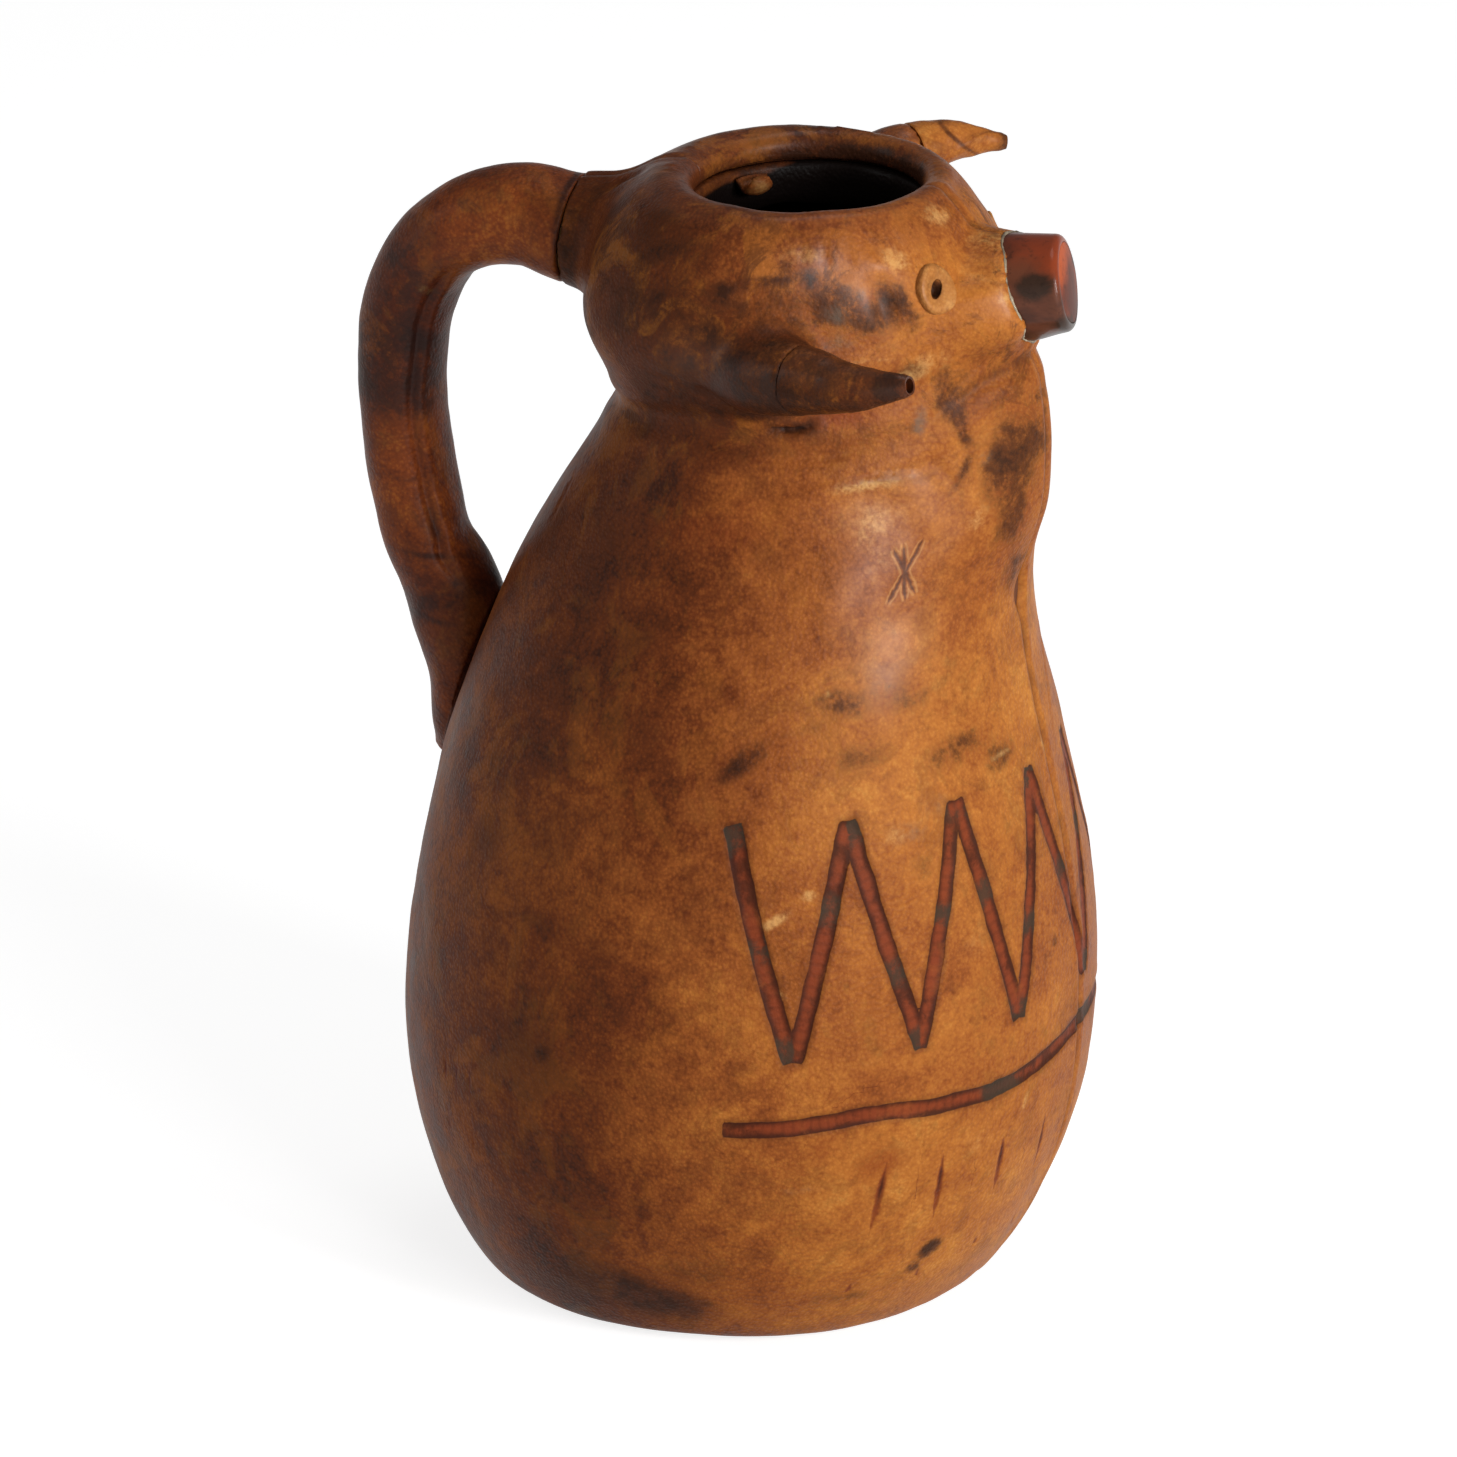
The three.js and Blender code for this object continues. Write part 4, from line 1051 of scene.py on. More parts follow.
def formedLeather(name, look, drawn=False, pitched=False):
    material, place = startMaterial(name)
    clouds = place.noise(15, 5, 0.62, 0.4) - 0.5
    patches = place.noise(44, 6, 0.66, 0.6) - 0.5
    mottle = place.noise(160, 6, 0.72, 0.3) - 0.5
    specks = place.noise(620, 4, 0.65) - 0.5
    bright = place.stretch(1, 1, 0.7).noise(54, 8, 0.7, 0.7) - clouds * 0.3
    blotches = place.noise(66, 9, 0.74, 0.9) + clouds * 0.3
    smudges = place.stretch(1, 1, 1.8).noise(120, 7, 0.75, 0.6)
    cells, height = leatherGrain(place, look["grain"])
    wear = attribute(place, "wear")
    warm = attribute(place, "warmStain") + patches * 0.8 + mottle * 0.5
    drift = patches * 1.5 + clouds * -1.1 + mottle * 1.3
    # stains and painted shade: dark, and black where strongest
    stainAndShadeMask = attribute(place, "darkStain") * (1 + mottle * 3.2 + patches * 3 + specks * 1.6)
    # painted shade in creases, folds and joins
    crease = attribute(place, "crease") * (1 + mottle * 3)
    ash = attribute(place, "ashStain") * (1 + mottle * 4)
    # pale scuffs and painted highlights
    scuffAndHighlightMask = (attribute(place, "lightScuff") * (1 + specks * 2.5 + mottle * 3)).step(0.15, 1.0)
    shade = attribute(place, "tone") + clouds * 0.5 + patches * 0.55 + mottle * 0.4 + specks * 0.25 \
        - (cells - 0.3) * 0.15
    colour = place.node("ShaderNodeValToRGB", {"stops": look["shades"]}, {"Fac": shade})
    for kind, share in (("warm", warm.step(0.12, 0.95) * 0.6), ("dark", drift.step(0.16, 0.5) * 0.42),
                        ("bright", bright.step(0.5, 0.6) * wear * 0.33),
                        ("dark", blotches.step(0.51, 0.61) * wear * 0.75),
                        ("dark", smudges.step(0.56, 0.66) * wear * 0.4),
                        ("dark", stainAndShadeMask.step(0.14, 0.7) * 0.86), ("black", stainAndShadeMask.step(0.62, 1.1) * 0.72),
                        ("dark", crease.step(0.08, 0.9) * 0.85), ("ash", ash.step(0.15, 0.95) * 0.6),
                        ("pale", scuffAndHighlightMask * 0.6)):
        colour = colour.blend(look[kind], share)
    roughness = 0.46 + patches * 0.3 + mottle * 0.25 + scuffAndHighlightMask * 0.1
    coat = attribute(place, "shine") * (0.75 + mottle * 1.5 + patches)

    if drawn:
        colour, burnt = drawnMarks(place, look, colour, mottle)
        hidden = attribute(place, "inside").step(0.4, 0.9)           # the undyed inner face
        colour = colour.blend(look["raw"], hidden)
        roughness = roughness + burnt * 0.08 + hidden * 0.3
        height = height * (1 - burnt * 0.5)
    if pitched:
        colour = colour.blend(look["pitch"], attribute(place, "pitch").step(0.2, 0.7))
    finishMaterial(place, colour, roughness, height, look["grainDepth"], 0.6,
                   Coat_Weight=coat, Coat_Roughness=0.3, Coat_IOR=1.45,
                   Specular_IOR_Level=look["gloss"])
    return material


def paintPlain(obj, tone, dark=0.0, crease=0.0, pale=0.0, ash=0.0, warm=0.0, shine=0.1, wear=0.4):
    none = np.zeros(len(obj.data.vertices))
    for name, values in (("tone", tone), ("darkStain", dark), ("crease", crease),
                         ("lightScuff", pale), ("ashStain", ash), ("warmStain", warm),
                         ("shine", shine), ("wear", wear)):
        paint(obj.data, name, np.clip(none + values, 0, 1.2))


vesselMaterial = formedLeather("tan_formed_leather", leatherLook, drawn=True)
hornLeather = formedLeather("horn_leather", leatherLook)
handleLook = {**leatherLook, "gloss": 0.1, "shades": [
    (0.12, linear(44, 23, 17)), (0.32, linear(92, 42, 22)), (0.48, linear(132, 64, 27)),
    (0.62, linear(172, 98, 40)), (0.82, linear(202, 136, 66))],
    "dark": linear(48, 25, 20), "black": linear(34, 21, 18)}
handleLeather = formedLeather("dark_red_leather", handleLook)
eyeLook = {**leatherLook, "shades": [
    (0.15, linear(108, 62, 30)), (0.4, linear(172, 112, 58)), (0.6, linear(202, 142, 78)),
    (0.85, linear(220, 170, 106))]}
eyeLeather = formedLeather("pale_eye_leather", eyeLook)
collarLeather = formedLeather("collar_leather", leatherLook, pitched=True)
for half in (rightHalf, leftHalf):
    half.data.materials.clear()
    half.data.materials.append(vesselMaterial)
print("leather made")


# Pieces laid over and into the shells
def addPiece(name, points, faces, material, node, crisp=180):
    obj = newMesh(name, points, faces)
    with editing(obj.data) as bm:
        bmesh.ops.remove_doubles(bm, verts=bm.verts, dist=1e-7)
        bmesh.ops.recalc_face_normals(bm, faces=bm.faces)
    obj.data.materials.append(material)
    shadeSmooth(obj, crisp)
    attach(obj, "root")
    if node:
        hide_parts(node)
    return obj


def skinHeight(points):              # signed mm over the vessel's skin, nearest point, normal
    height, spots, normals = [], [], []
    for p in points:
        spot, normal, _, _ = vesselSkin.find_nearest(Vector(p) * mm)
        height.append((Vector(p) * mm - spot).dot(normal) / mm)
        spots.append(spot / mm)
        normals.append(normal)
    return np.array(height), np.array(spots), np.array(normals)


def plainLeather(name, base, deep, light, grain=900, gloss=0.3, roughness=0.42, marked=False,
                 fibre=False, bump=0.0002):
    material, place = startMaterial(name)
    clouds = place.noise(30, 5, 0.65, 0.4)
    mottle = place.noise(190, 5, 0.7)
    specks = place.noise(700, 3, 0.6)
    colour = (clouds * 0.8 + mottle * 0.4).step(0.42, 0.78).between(deep, base)
    colour = colour.blend(light, (clouds * 0.5 + specks * 0.3 + mottle * 0.45).step(0.6, 0.82) * 0.5)
    dark = tuple(c * 0.35 for c in deep)
    colour = colour.blend(dark, (1 - mottle).step(0.5, 0.75) * 0.35)
    if marked:
        # painted shade darkens; worn and lit places are painted lighter
        crease = attribute(place, "crease")
        colour = colour.blend(dark, (crease * (0.6 + mottle * 0.8)).step(0.1, 0.9) * 0.85)
        worn = attribute(place, "worn")
        colour = colour.blend(light, (worn * (0.4 + mottle * 1.1)).step(0.25, 0.8) * 0.75)
    _, height = leatherGrain(place, grain)
    if fibre:
        height = height + place.stretch(1, 1, 0.12).noise(900, 4, 0.7) * 1.6
    finishMaterial(place, colour, roughness + clouds * 0.15, height, bump, 0.6,
                   Coat_Weight=gloss, Coat_Roughness=0.3, Coat_IOR=1.35, Specular_IOR_Level=0.3)
    return material


rawLeather = plainLeather("raw_inside_leather", linear(134, 76, 38), linear(84, 44, 24),
                          linear(186, 130, 84), gloss=0.0, roughness=0.6, marked=True, fibre=True,
                          bump=0.0004)
soleLeather = plainLeather("dull_sole_leather", linear(96, 62, 38), linear(58, 36, 24),
                           linear(132, 94, 62), gloss=0.0, roughness=0.7, fibre=True, bump=0.0004)


def lacquer(name, low, high, top, coat, roughness):
    material, place = startMaterial(name)
    clouds = place.noise(60, 4, 0.6, 0.5)
    fine = place.noise(420, 4, 0.65)
    colour = clouds.step(0.4, 0.68).between(low, high)
    # the top colour is laid as painted light where the piece faces up, the dark colour as painted shade
    # low down
    worn = attribute(place, "worn")
    colour = colour.blend(top, (worn * (0.5 + fine)).step(0.15, 0.9) * 0.85)
    crease = attribute(place, "crease")
    shadeNoise = place.noise(150, 6, 0.7, 0.8)
    colour = colour.blend(linear(46, 37, 30), (crease * shadeNoise * 2).step(0.2, 0.9) * 0.85)
    colour = colour.blend(linear(30, 18, 14), (1 - fine).step(0.56, 0.7) * 0.3)
    height = fine * 0.5 + clouds * 1.2
    finishMaterial(place, colour, roughness + clouds * 0.14, height, 0.0002, 0.5,
                   Coat_Weight=coat, Coat_Roughness=0.12, Coat_IOR=1.4, Specular_IOR_Level=0.06)
    return material


def pitchCoat():
    material, place = startMaterial("black_pitch")
    runs = place.stretch(1, 1, 0.3).noise(70, 4, 0.6)
    fine = place.noise(400, 3, 0.6)
    colour = runs.between(linear(16, 10, 9), linear(28, 18, 14))
    finishMaterial(place, colour, 0.28 + fine * 0.2, runs * 1.5 + fine * 0.3, 0.0005, 0.6,
                   Specular_IOR_Level=0.2)
    return material


def coreWood():
    material, place = startMaterial("plain_core_wood")
    grain = place.stretch(1, 1, 0.1).noise(260, 5, 0.6, 0.6)
    pores = place.stretch(1, 1, 0.05).noise(1500, 2, 0.5)
    colour = grain.step(0.35, 0.65).between(linear(150, 108, 66), linear(192, 150, 100))
    colour = colour.blend(linear(110, 76, 46), pores.step(0.6, 0.7) * 0.5)
    finishMaterial(place, colour, 0.62 + grain * 0.15, grain + pores * 0.4, 0.0003, 0.5)
    return material


def driedGlue():
    material, place = startMaterial("grey_dried_glue")
    lump = place.noise(500, 4, 0.6)
    broad = place.noise(120, 3, 0.6)
    colour = (broad * 0.7 + lump * 0.4).step(0.4, 0.7)
    colour = colour.between(linear(84, 70, 56), linear(168, 152, 126))
    finishMaterial(place, colour, 0.5 + lump * 0.2, lump, 0.0003, 0.6, Coat_Weight=0.2)
    return material


sleeveFinish = lacquer("red_brown_lacquer", linear(70, 41, 31), linear(104, 60, 42),
                       linear(142, 60, 32), 0.3, 0.24)
endFinish = lacquer("orange_end_lacquer", linear(84, 38, 22), linear(136, 58, 28),
                    linear(188, 84, 34), 0.08, 0.42)
pitchFinish, woodFinish, glueFinish = pitchCoat(), coreWood(), driedGlue()


# Handle cover: leather wrapped round the core, its edges meeting on the inner side
cover = {
    "steps": 240, "sides": 96,
    "flapFrom": 58, "flapTo": 136,      # degrees round the handle that the lapped flap covers
    "flapHeight": 0.85, "seamFrom": 4.4, "seamTo": 11.4,
    "groove": 0.85, "ridge": 0.35, "flat": 0.7,        # beside the flap, mm
    "innerFlat": 0.4, "rootStep": 0.5, "wave": 0.3,    # elsewhere, mm
    "edge": 1.25,              # thickness of the leather where it lies on the body
    "least": 0.12, "sunk": 0.9,        # height left to what would sink deeper than sunk
    "footBelow": 215,          # height under which the cover can touch the body
    "tongueEnd": [(0.9, 0.9), (0.72, 1.7), (0.4, 2.3)],        # its rounding: size left, mm ahead
    "creases": [(-82, 187, 1.0, .9), (-82, 170, 1.2, .7), (-91, 208, .9, .5)],
    # dark bands: station, half width, strength
    "bands": [(5.2, 1.3, .5), (6.7, 1.4, .42), (10.9, .5, .3), (8.9, .4, .2)],
}


def seamShare(u):                    # 1 along the handle's seam, fading to 0 at its ends
    return ramp(u, cover["seamFrom"], cover["seamFrom"] + .8) \
        * (1 - ramp(u, cover["seamTo"] - 1.2, cover["seamTo"]))


def coverGrow(u, angle):
    degrees = np.degrees(angle)
    on = seamShare(u)
    wander = 3 * math.sin(u * 1.9) + 1.5 * math.sin(u * 4.3 + 1)
    place = degrees - wander
    flap = ramp(place, cover["flapFrom"] - 14, cover["flapFrom"] + 6) \
        * (1 - ramp(place, cover["flapTo"] - 3, cover["flapTo"] + 2))
    groove = bell(place - cover["flapTo"] - 5, 5)
    ridge = bell(place - cover["flapTo"] + 9, 7)
    flat = bell(place - 95, 26)
    seam = cover["flapHeight"] * flap - cover["groove"] * groove + cover["ridge"] * ridge \
        - cover["flat"] * flat
    wave = np.sin(u * 2.3 + 2.2 * np.cos(angle)) * ramp(u, 2.3, 3)
    return on * seam - cover["innerFlat"] * bell(degrees - 90, 42) * (1 - on) \
        - cover["rootStep"] * (1 - ramp(u, 2, 2.06)) + cover["wave"] * wave


def buildHandle():
    start = shiftStation(handleTube, handle["joint"], halfGap)
    last = len(handleTube) - 1
    places = np.concatenate([[start, start + .02, start + .05],
                             np.linspace(start + .1, last, cover["steps"])])
    outer = sweepRings(handleTube, places, cover["sides"], (0, 1, 0), 0.0, coverGrow)
    tip = outer[-1]
    centre = tip.mean(0)
    direction = unit(catmull(handleTube, last)[:3] - catmull(handleTube, last - .1)[:3])
    closing = [centre + (tip - centre) * share + direction * ahead
               for share, ahead in cover["tongueEnd"]]
    outer = np.concatenate([outer, closing])
    pocket = sweepRings(handleTube, np.linspace(handle["coreEnd"] - 0.02, start, 60),
                        cover["sides"], (0, 1, 0), handle["wrap"])
    rings = np.concatenate([pocket, outer])
    points, faces = loft(rings)
    shaped = np.zeros(len(points), bool)
    shaped[len(pocket) * cover["sides"]:len(rings) * cover["sides"]] = True
    shaped[-1] = True
    points[shaped] += unit(points[shaped] - handleCentre(points[shaped])) \
        * uneven(points[shaped], (0.35, 26, 51), (0.2, 9, 52), (0.08, 3.5, 53))[:, None]
    near = shaped & (points[:, 2] < cover["footBelow"])
    height, spots, normals = skinHeight(points[near])
    edge, least, sunk = cover["edge"], cover["least"], cover["sunk"]
    lift = np.maximum(least + edge * ramp(height, -sunk, 0.5), height)
    lift = np.where(height < -sunk, least, lift)
    points[near] = np.where((height < edge)[:, None], spots + normals * lift[:, None], points[near])
    obj = addPiece("handle_leather", points, faces, handleLeather, "handle_cover")
    paintHandle(obj)


def paintHandle(obj):
    points = getPoints(obj.data)
    u, angle = handlePlaces(points)
    degrees = np.degrees(angle) % 360
    # painted shade in its creases, at the joint, where it lies on the body and beside the flap's groove
    creases = np.zeros(len(points))
    for x, z, wide, deep in cover["creases"]:
        along = (points[:, 2] - z) + 0.1 * (points[:, 0] - x) + 0.8 * lumps(points, 9, 60)
        creases = np.maximum(creases, deep * bell(along, wide) * bell(points[:, 0] - x, 8))
    joint = np.abs(points[:, 0] - handleTube[2][0])
    creases = np.maximum(creases, 0.8 * bell(joint, 1.3))
    distance, _, _ = skinHeight(points)
    creases = np.maximum(creases, bell(np.abs(distance), 1.6) * (points[:, 2] < cover["footBelow"]))
    on = seamShare(u)
    creases = np.maximum(creases, 0.5 * on * bell(degrees - cover["flapTo"] - 5, 8)
                         * (0.8 + 0.4 * lumps(points, 14, 67)))
    dark = np.zeros(len(points))
    wander = u + uneven(points, (0.35, 26, 65), (0.2, 9, 66))
    for at, width, strength in cover["bands"]:
        dark = np.maximum(dark, strength * bell(wander - at, width))
    dark = dark * (0.65 + 0.35 * bell(degrees - 190, 60)) + 0.4 * np.clip(lumps(points, 20, 62), 0, 1)
    dark = np.maximum(dark, 0.5 * bell(u - 11.4, .5) * ramp(points[:, 0], -90, -76))
    # the inner side near the top is lighter, a painted highlight
    tone = 0.385 + 0.06 * (1 - ramp(wander, 3.6, 5.4)) + 0.03 * ramp(wander, 7, 10) \
        + 0.08 * bell(degrees - 90, 50) * (1 - ramp(u, 3.4, 4.6))
    # painted highlights: a small spot on the bend and streaks along the flap's ridge
    pale = 0.35 * bell(u - 5.4, .16) * bell(degrees - 150, 16) \
        + 0.35 * on * bell(degrees - cover["flapTo"] + 10, 7) * np.clip(lumps(points, 8, 64), 0, 1)
    paintPlain(obj, tone, dark, creases, pale)


def nearestOn(line, points):         # index of the nearest point of a line
    return np.array([np.argmin(((line - p) ** 2).sum(1)) for p in points])


def handlePlaces(points):            # station along the handle and angle round it
    us = np.linspace(1, len(handleTube) - 1, 400)
    rows = catmull(handleTube, us)
    hit = nearestOn(rows[:, :3], points)
    step = catmull(handleTube, np.minimum(us + .05, len(handleTube) - 1))[:, :3] \
        - catmull(handleTube, us - .05)[:, :3]
    along = step / np.linalg.norm(step, axis=1)[:, None]
    normal = np.cross(along, (0.0, 1.0, 0.0))
    away = points - rows[hit][:, :3]
    return us[hit], np.arctan2((away * normal[hit]).sum(1), away[:, 1])


def handleCentre(points):
    us = np.linspace(1.5, len(handleTube) - 1, 160)
    line = catmull(handleTube, us)[:, :3]
    return line[nearestOn(line, points)]


buildHandle()
print("handle made")


# Horn tips: wrapped cones with a spiral edge and an open cut end
hornTip = {
    "steps": 60, "sides": 56, "edge": 0.35, "groove": 0.35, "endWall": 0.9, "endDepth": 2.4,
    "rootStep": {"right": 0.12, "left": 0.4}, "tipStep": 0.25,      # how far the ends draw in
}


def buildHorn(side):
    tube = hornTubes[side]
    last = len(tube) - 1
    start = shiftStation(tube, horns["joint"], halfGap)
    pocketEnd = shiftStation(tube, horns["joint"], horns["pegOut"])
    turn = 1 if side == "right" else -1

    def grow(u, angle):              # wrapped edge winds slowly round the cone
        spiral = (angle - turn * (u * 1.5 + 0.4)) % (2 * math.pi)
        step = spiral / (2 * math.pi)
        taper = ramp(u, start, start + .15) * (1 - ramp(u, last - .25, last))
        return hornTip["edge"] * (1 - 2 * step) * taper * 0.9 \
            - hornTip["groove"] * bell(spiral, 0.16) * taper \
            - hornTip["rootStep"][side] * (1 - ramp(u, start, start + .04)) \
            - hornTip["tipStep"] * ramp(u, last - .12, last)

    sides = hornTip["sides"]
    pocket = sweepRings(tube, np.linspace(pocketEnd, start, 8), sides, (0, 0, 1), horns["wrap"])
    outer = sweepRings(tube, np.linspace(start, last, hornTip["steps"]), sides, (0, 0, 1), 0.0, grow)
    endLength = np.linalg.norm(tube[-1][:3] - tube[-2][:3])
    end = sweepRings(tube, [last, last - 0.5 * hornTip["endDepth"] / endLength,
                            last - hornTip["endDepth"] / endLength],
                     sides, (0, 0, 1), hornTip["endWall"])
    end[0] += unit(tube[-1][:3] - tube[-2][:3]) * -0.15
    points, faces = loft(np.concatenate([pocket, outer, end]))
    lead = len(pocket) * sides
    shaped = slice(lead, lead + len(outer) * sides)
    places = np.repeat(np.linspace(start, last, hornTip["steps"]), sides)
    axis = catmull(tube, places)[:, :3]
    points[shaped] += unit(points[shaped] - axis) \
        * uneven(points[shaped], (0.35, 13, 71), (0.26, 4.5, 72), (0.1, 2, 75))[:, None]
    obj = addPiece(side + "_horn_wrap", points, faces, hornLeather, "horn_tip_" + side,
                   50)
    points = getPoints(obj.data)
    fromTip = np.linalg.norm(points - tube[-1][:3], axis=1)
    blotch = np.clip(lumps(points, 8, 73), 0, 1)
    if side == "right":
        # painted shade low down and in the cut end; the top is painted lighter
        low = 1 - ramp(points[:, 2], 262, 269)
        dark = 0.5 + 0.3 * low + 0.6 * bell(fromTip - 4, 5) * (0.5 + blotch) + 0.25 * blotch
        joint = np.linalg.norm(points - catmull(tube, start)[:3], axis=1)
        dark = dark + 0.3 * bell(joint, 9)
        paintPlain(obj, 0.37 + 0.08 * ramp(points[:, 2], 265, 272), dark,
                   0.7 * bell(fromTip, 1.2), 0.3 * bell(fromTip - 9, 2.5) * blotch, 0.12 * blotch,
                   shine=0.5 * ramp(points[:, 2], 266, 272), wear=0.8)
    else:
        # painted shade low down, along a line across the horn and in the cut end
        line = (points - tube[3][:3]) @ unit(np.array([0.8, 0.3, 0.9]))
        dark = 0.45 * blotch + 0.6 * bell(fromTip - 2, 3) + 0.5 * (1 - ramp(points[:, 2], 285, 288))
        paintPlain(obj, 0.6, dark, np.maximum(0.8 * bell(line - 1, 0.6), 0.7 * bell(fromTip, 1.8)),
                   0.3 * np.clip(lumps(points, 5, 74), 0, 1))


for side in ("right", "left"):
    buildHorn(side)
print("horns made")


# Eye rings: raised washers that follow the head, over an oblong hole
eye = {
    "station": marks["eye"][0], "degrees": marks["eye"][1], "radius": 6.4, "thick": 1.7,
    "holeWide": 1.5, "holeHigh": 2.7, "turn": eyeTurn, "rings": 20, "sides": 72,
}


def buildEye(side, sign):
    at = formPoint(eye["station"], sign * math.radians(eye["degrees"]))
    out = formNormal(eye["station"], sign * math.radians(eye["degrees"]))
    across = unit(np.cross(out, (0, 0, 1)))
    upward = unit(np.cross(across, out))
    angle = turns(eye["sides"])
    tilt = -sign * eye["turn"]
    hole = np.stack([eye["holeWide"] * np.cos(angle), eye["holeHigh"] * np.sin(angle)], 1)
    hole = hole @ np.array([[math.cos(tilt), math.sin(tilt)], [-math.sin(tilt), math.cos(tilt)]])
    ragged = 1 + 0.03 * np.sin(2 * angle + sign) + 0.012 * np.sin(5 * angle + 1)
    edge = eye["radius"] * ragged[:, None] * np.stack([0.88 * np.cos(angle), np.sin(angle)], 1)
    # match the hole's points to the rim's directions
    order = np.argsort(np.arctan2(hole[:, 1], hole[:, 0]))
    hole = hole[order]
    rimOrder = np.argsort(np.arctan2(edge[:, 1], edge[:, 0]))
    edge = edge[rimOrder]
    backward = across if sign < 0 else -across

    def skin(a, b):                  # depth of the head behind the ring's plane
        far = at + across * a + upward * b + out * 12
        spot, _, _, _ = vesselSkin.ray_cast(Vector(far) * mm, Vector(-out))
        return (np.array(spot) / mm - at) @ out

    def terms(a, b):                 # of the curved surface fitted to the head
        return np.array([1, a, b, a * a, a * b, b * b, a ** 3, b ** 3, a * a * b, a * b * b])

    fitted = [(r * math.cos(t), r * math.sin(t)) for r in np.linspace(4.2, 7.6, 6)
              for t in np.linspace(0, 2 * math.pi, 24)]
    bend = np.linalg.lstsq(np.array([terms(*ab) for ab in fitted]),
                           np.array([skin(*ab) for ab in fitted]), rcond=None)[0]
    rings = []
    shares = np.linspace(0, 1, eye["rings"])
    for k, t in enumerate(np.concatenate([shares, shares[::-1]])):
        upper = k < eye["rings"]
        flat = hole * (1 - t) + edge * t
        line = []
        for a, b in flat:
            raised = 0.12 + 0.88 * float(ramp((a * across + b * upward) @ backward, -5.5, 5))
            lift = 0.08
            if upper:
                lip = 0.3 + 0.7 * float(ramp(t, -0.1, 0.62))
                fall = math.sqrt(max(1 - (max(t - 0.76, 0) / 0.24) ** 2, 0))
                lift += eye["thick"] * (1 if sign < 0 else 0.6) * raised * lip * fall + 0.05
            line.append(at + across * a + upward * b + out * (terms(a, b) @ bend + lift))
        rings.append(line)
    points, faces = loft(rings, closed=True)
    obj = addPiece(side + "_eye_ring", points, faces, eyeLeather, "eye_disc_" + side)
    points = getPoints(obj.data)
    away = np.linalg.norm(points - at - np.outer((points - at) @ out, out), axis=1)
    behind = ramp((points - at) @ backward, 1, 5)
    # painted shade at the outer edge on its raised side and in the hole
    paintPlain(obj, 0.47 + 0.1 * lumps(points, 5, 82), 0.4 * np.clip(lumps(points, 3, 83), 0, 1),
               np.clip(bell(away - eye["radius"] * .94, 0.4) * 0.5 * behind
                       + (1 - ramp(away, 1.5, 2.8)) * 0.4, 0, 1),
               np.clip(lumps(points, 3, 81) * 0.6, 0, 1), wear=0.3, shine=0.3 * behind)


buildEye("right", -1)
buildEye("left", 1)
print("eyes made")


# Snout: lacquered sleeve with a rounded end, its disc, and dried glue at its root
snout = {
    "rRoot": 14.6, "rFace": 12.4, "wall": 2.2,
    "round": 1.9, "discThick": 2.4, "sides": 96, "bead": 0.42, "beadSides": 10,
    "dripAt": 262, "dripHalf": 9, "dripSize": 0.9,
    "forward": 1.0, "slant": 2.0,       # the cut end leans: the right side stands further out
}


def snoutRing(t, shrink, angle):
    (x0, z0), (x1, z1) = snoutRoot, snoutFace
    axis = snoutAxis()
    normal = np.cross(axis, (0, 1, 0))
    r = snout["rRoot"] + (snout["rFace"] - snout["rRoot"]) * t - shrink
    ragged = 1 + 0.012 * np.sin(2 * angle + .6) + 0.008 * np.sin(5 * angle + 2)
    centre = np.array([x0 + (x1 - x0) * t, 0, z0 + (z1 - z0) * t])
    lean = (snout["forward"] - snout["slant"] * r / snout["rFace"] * np.cos(angle)) * ramp(t, 0.35, 1)
    return centre + np.outer(r * ragged * np.cos(angle), (0, 1, 0)) \
        + np.outer(r * ragged * np.sin(angle), normal) + np.outer(lean, axis)


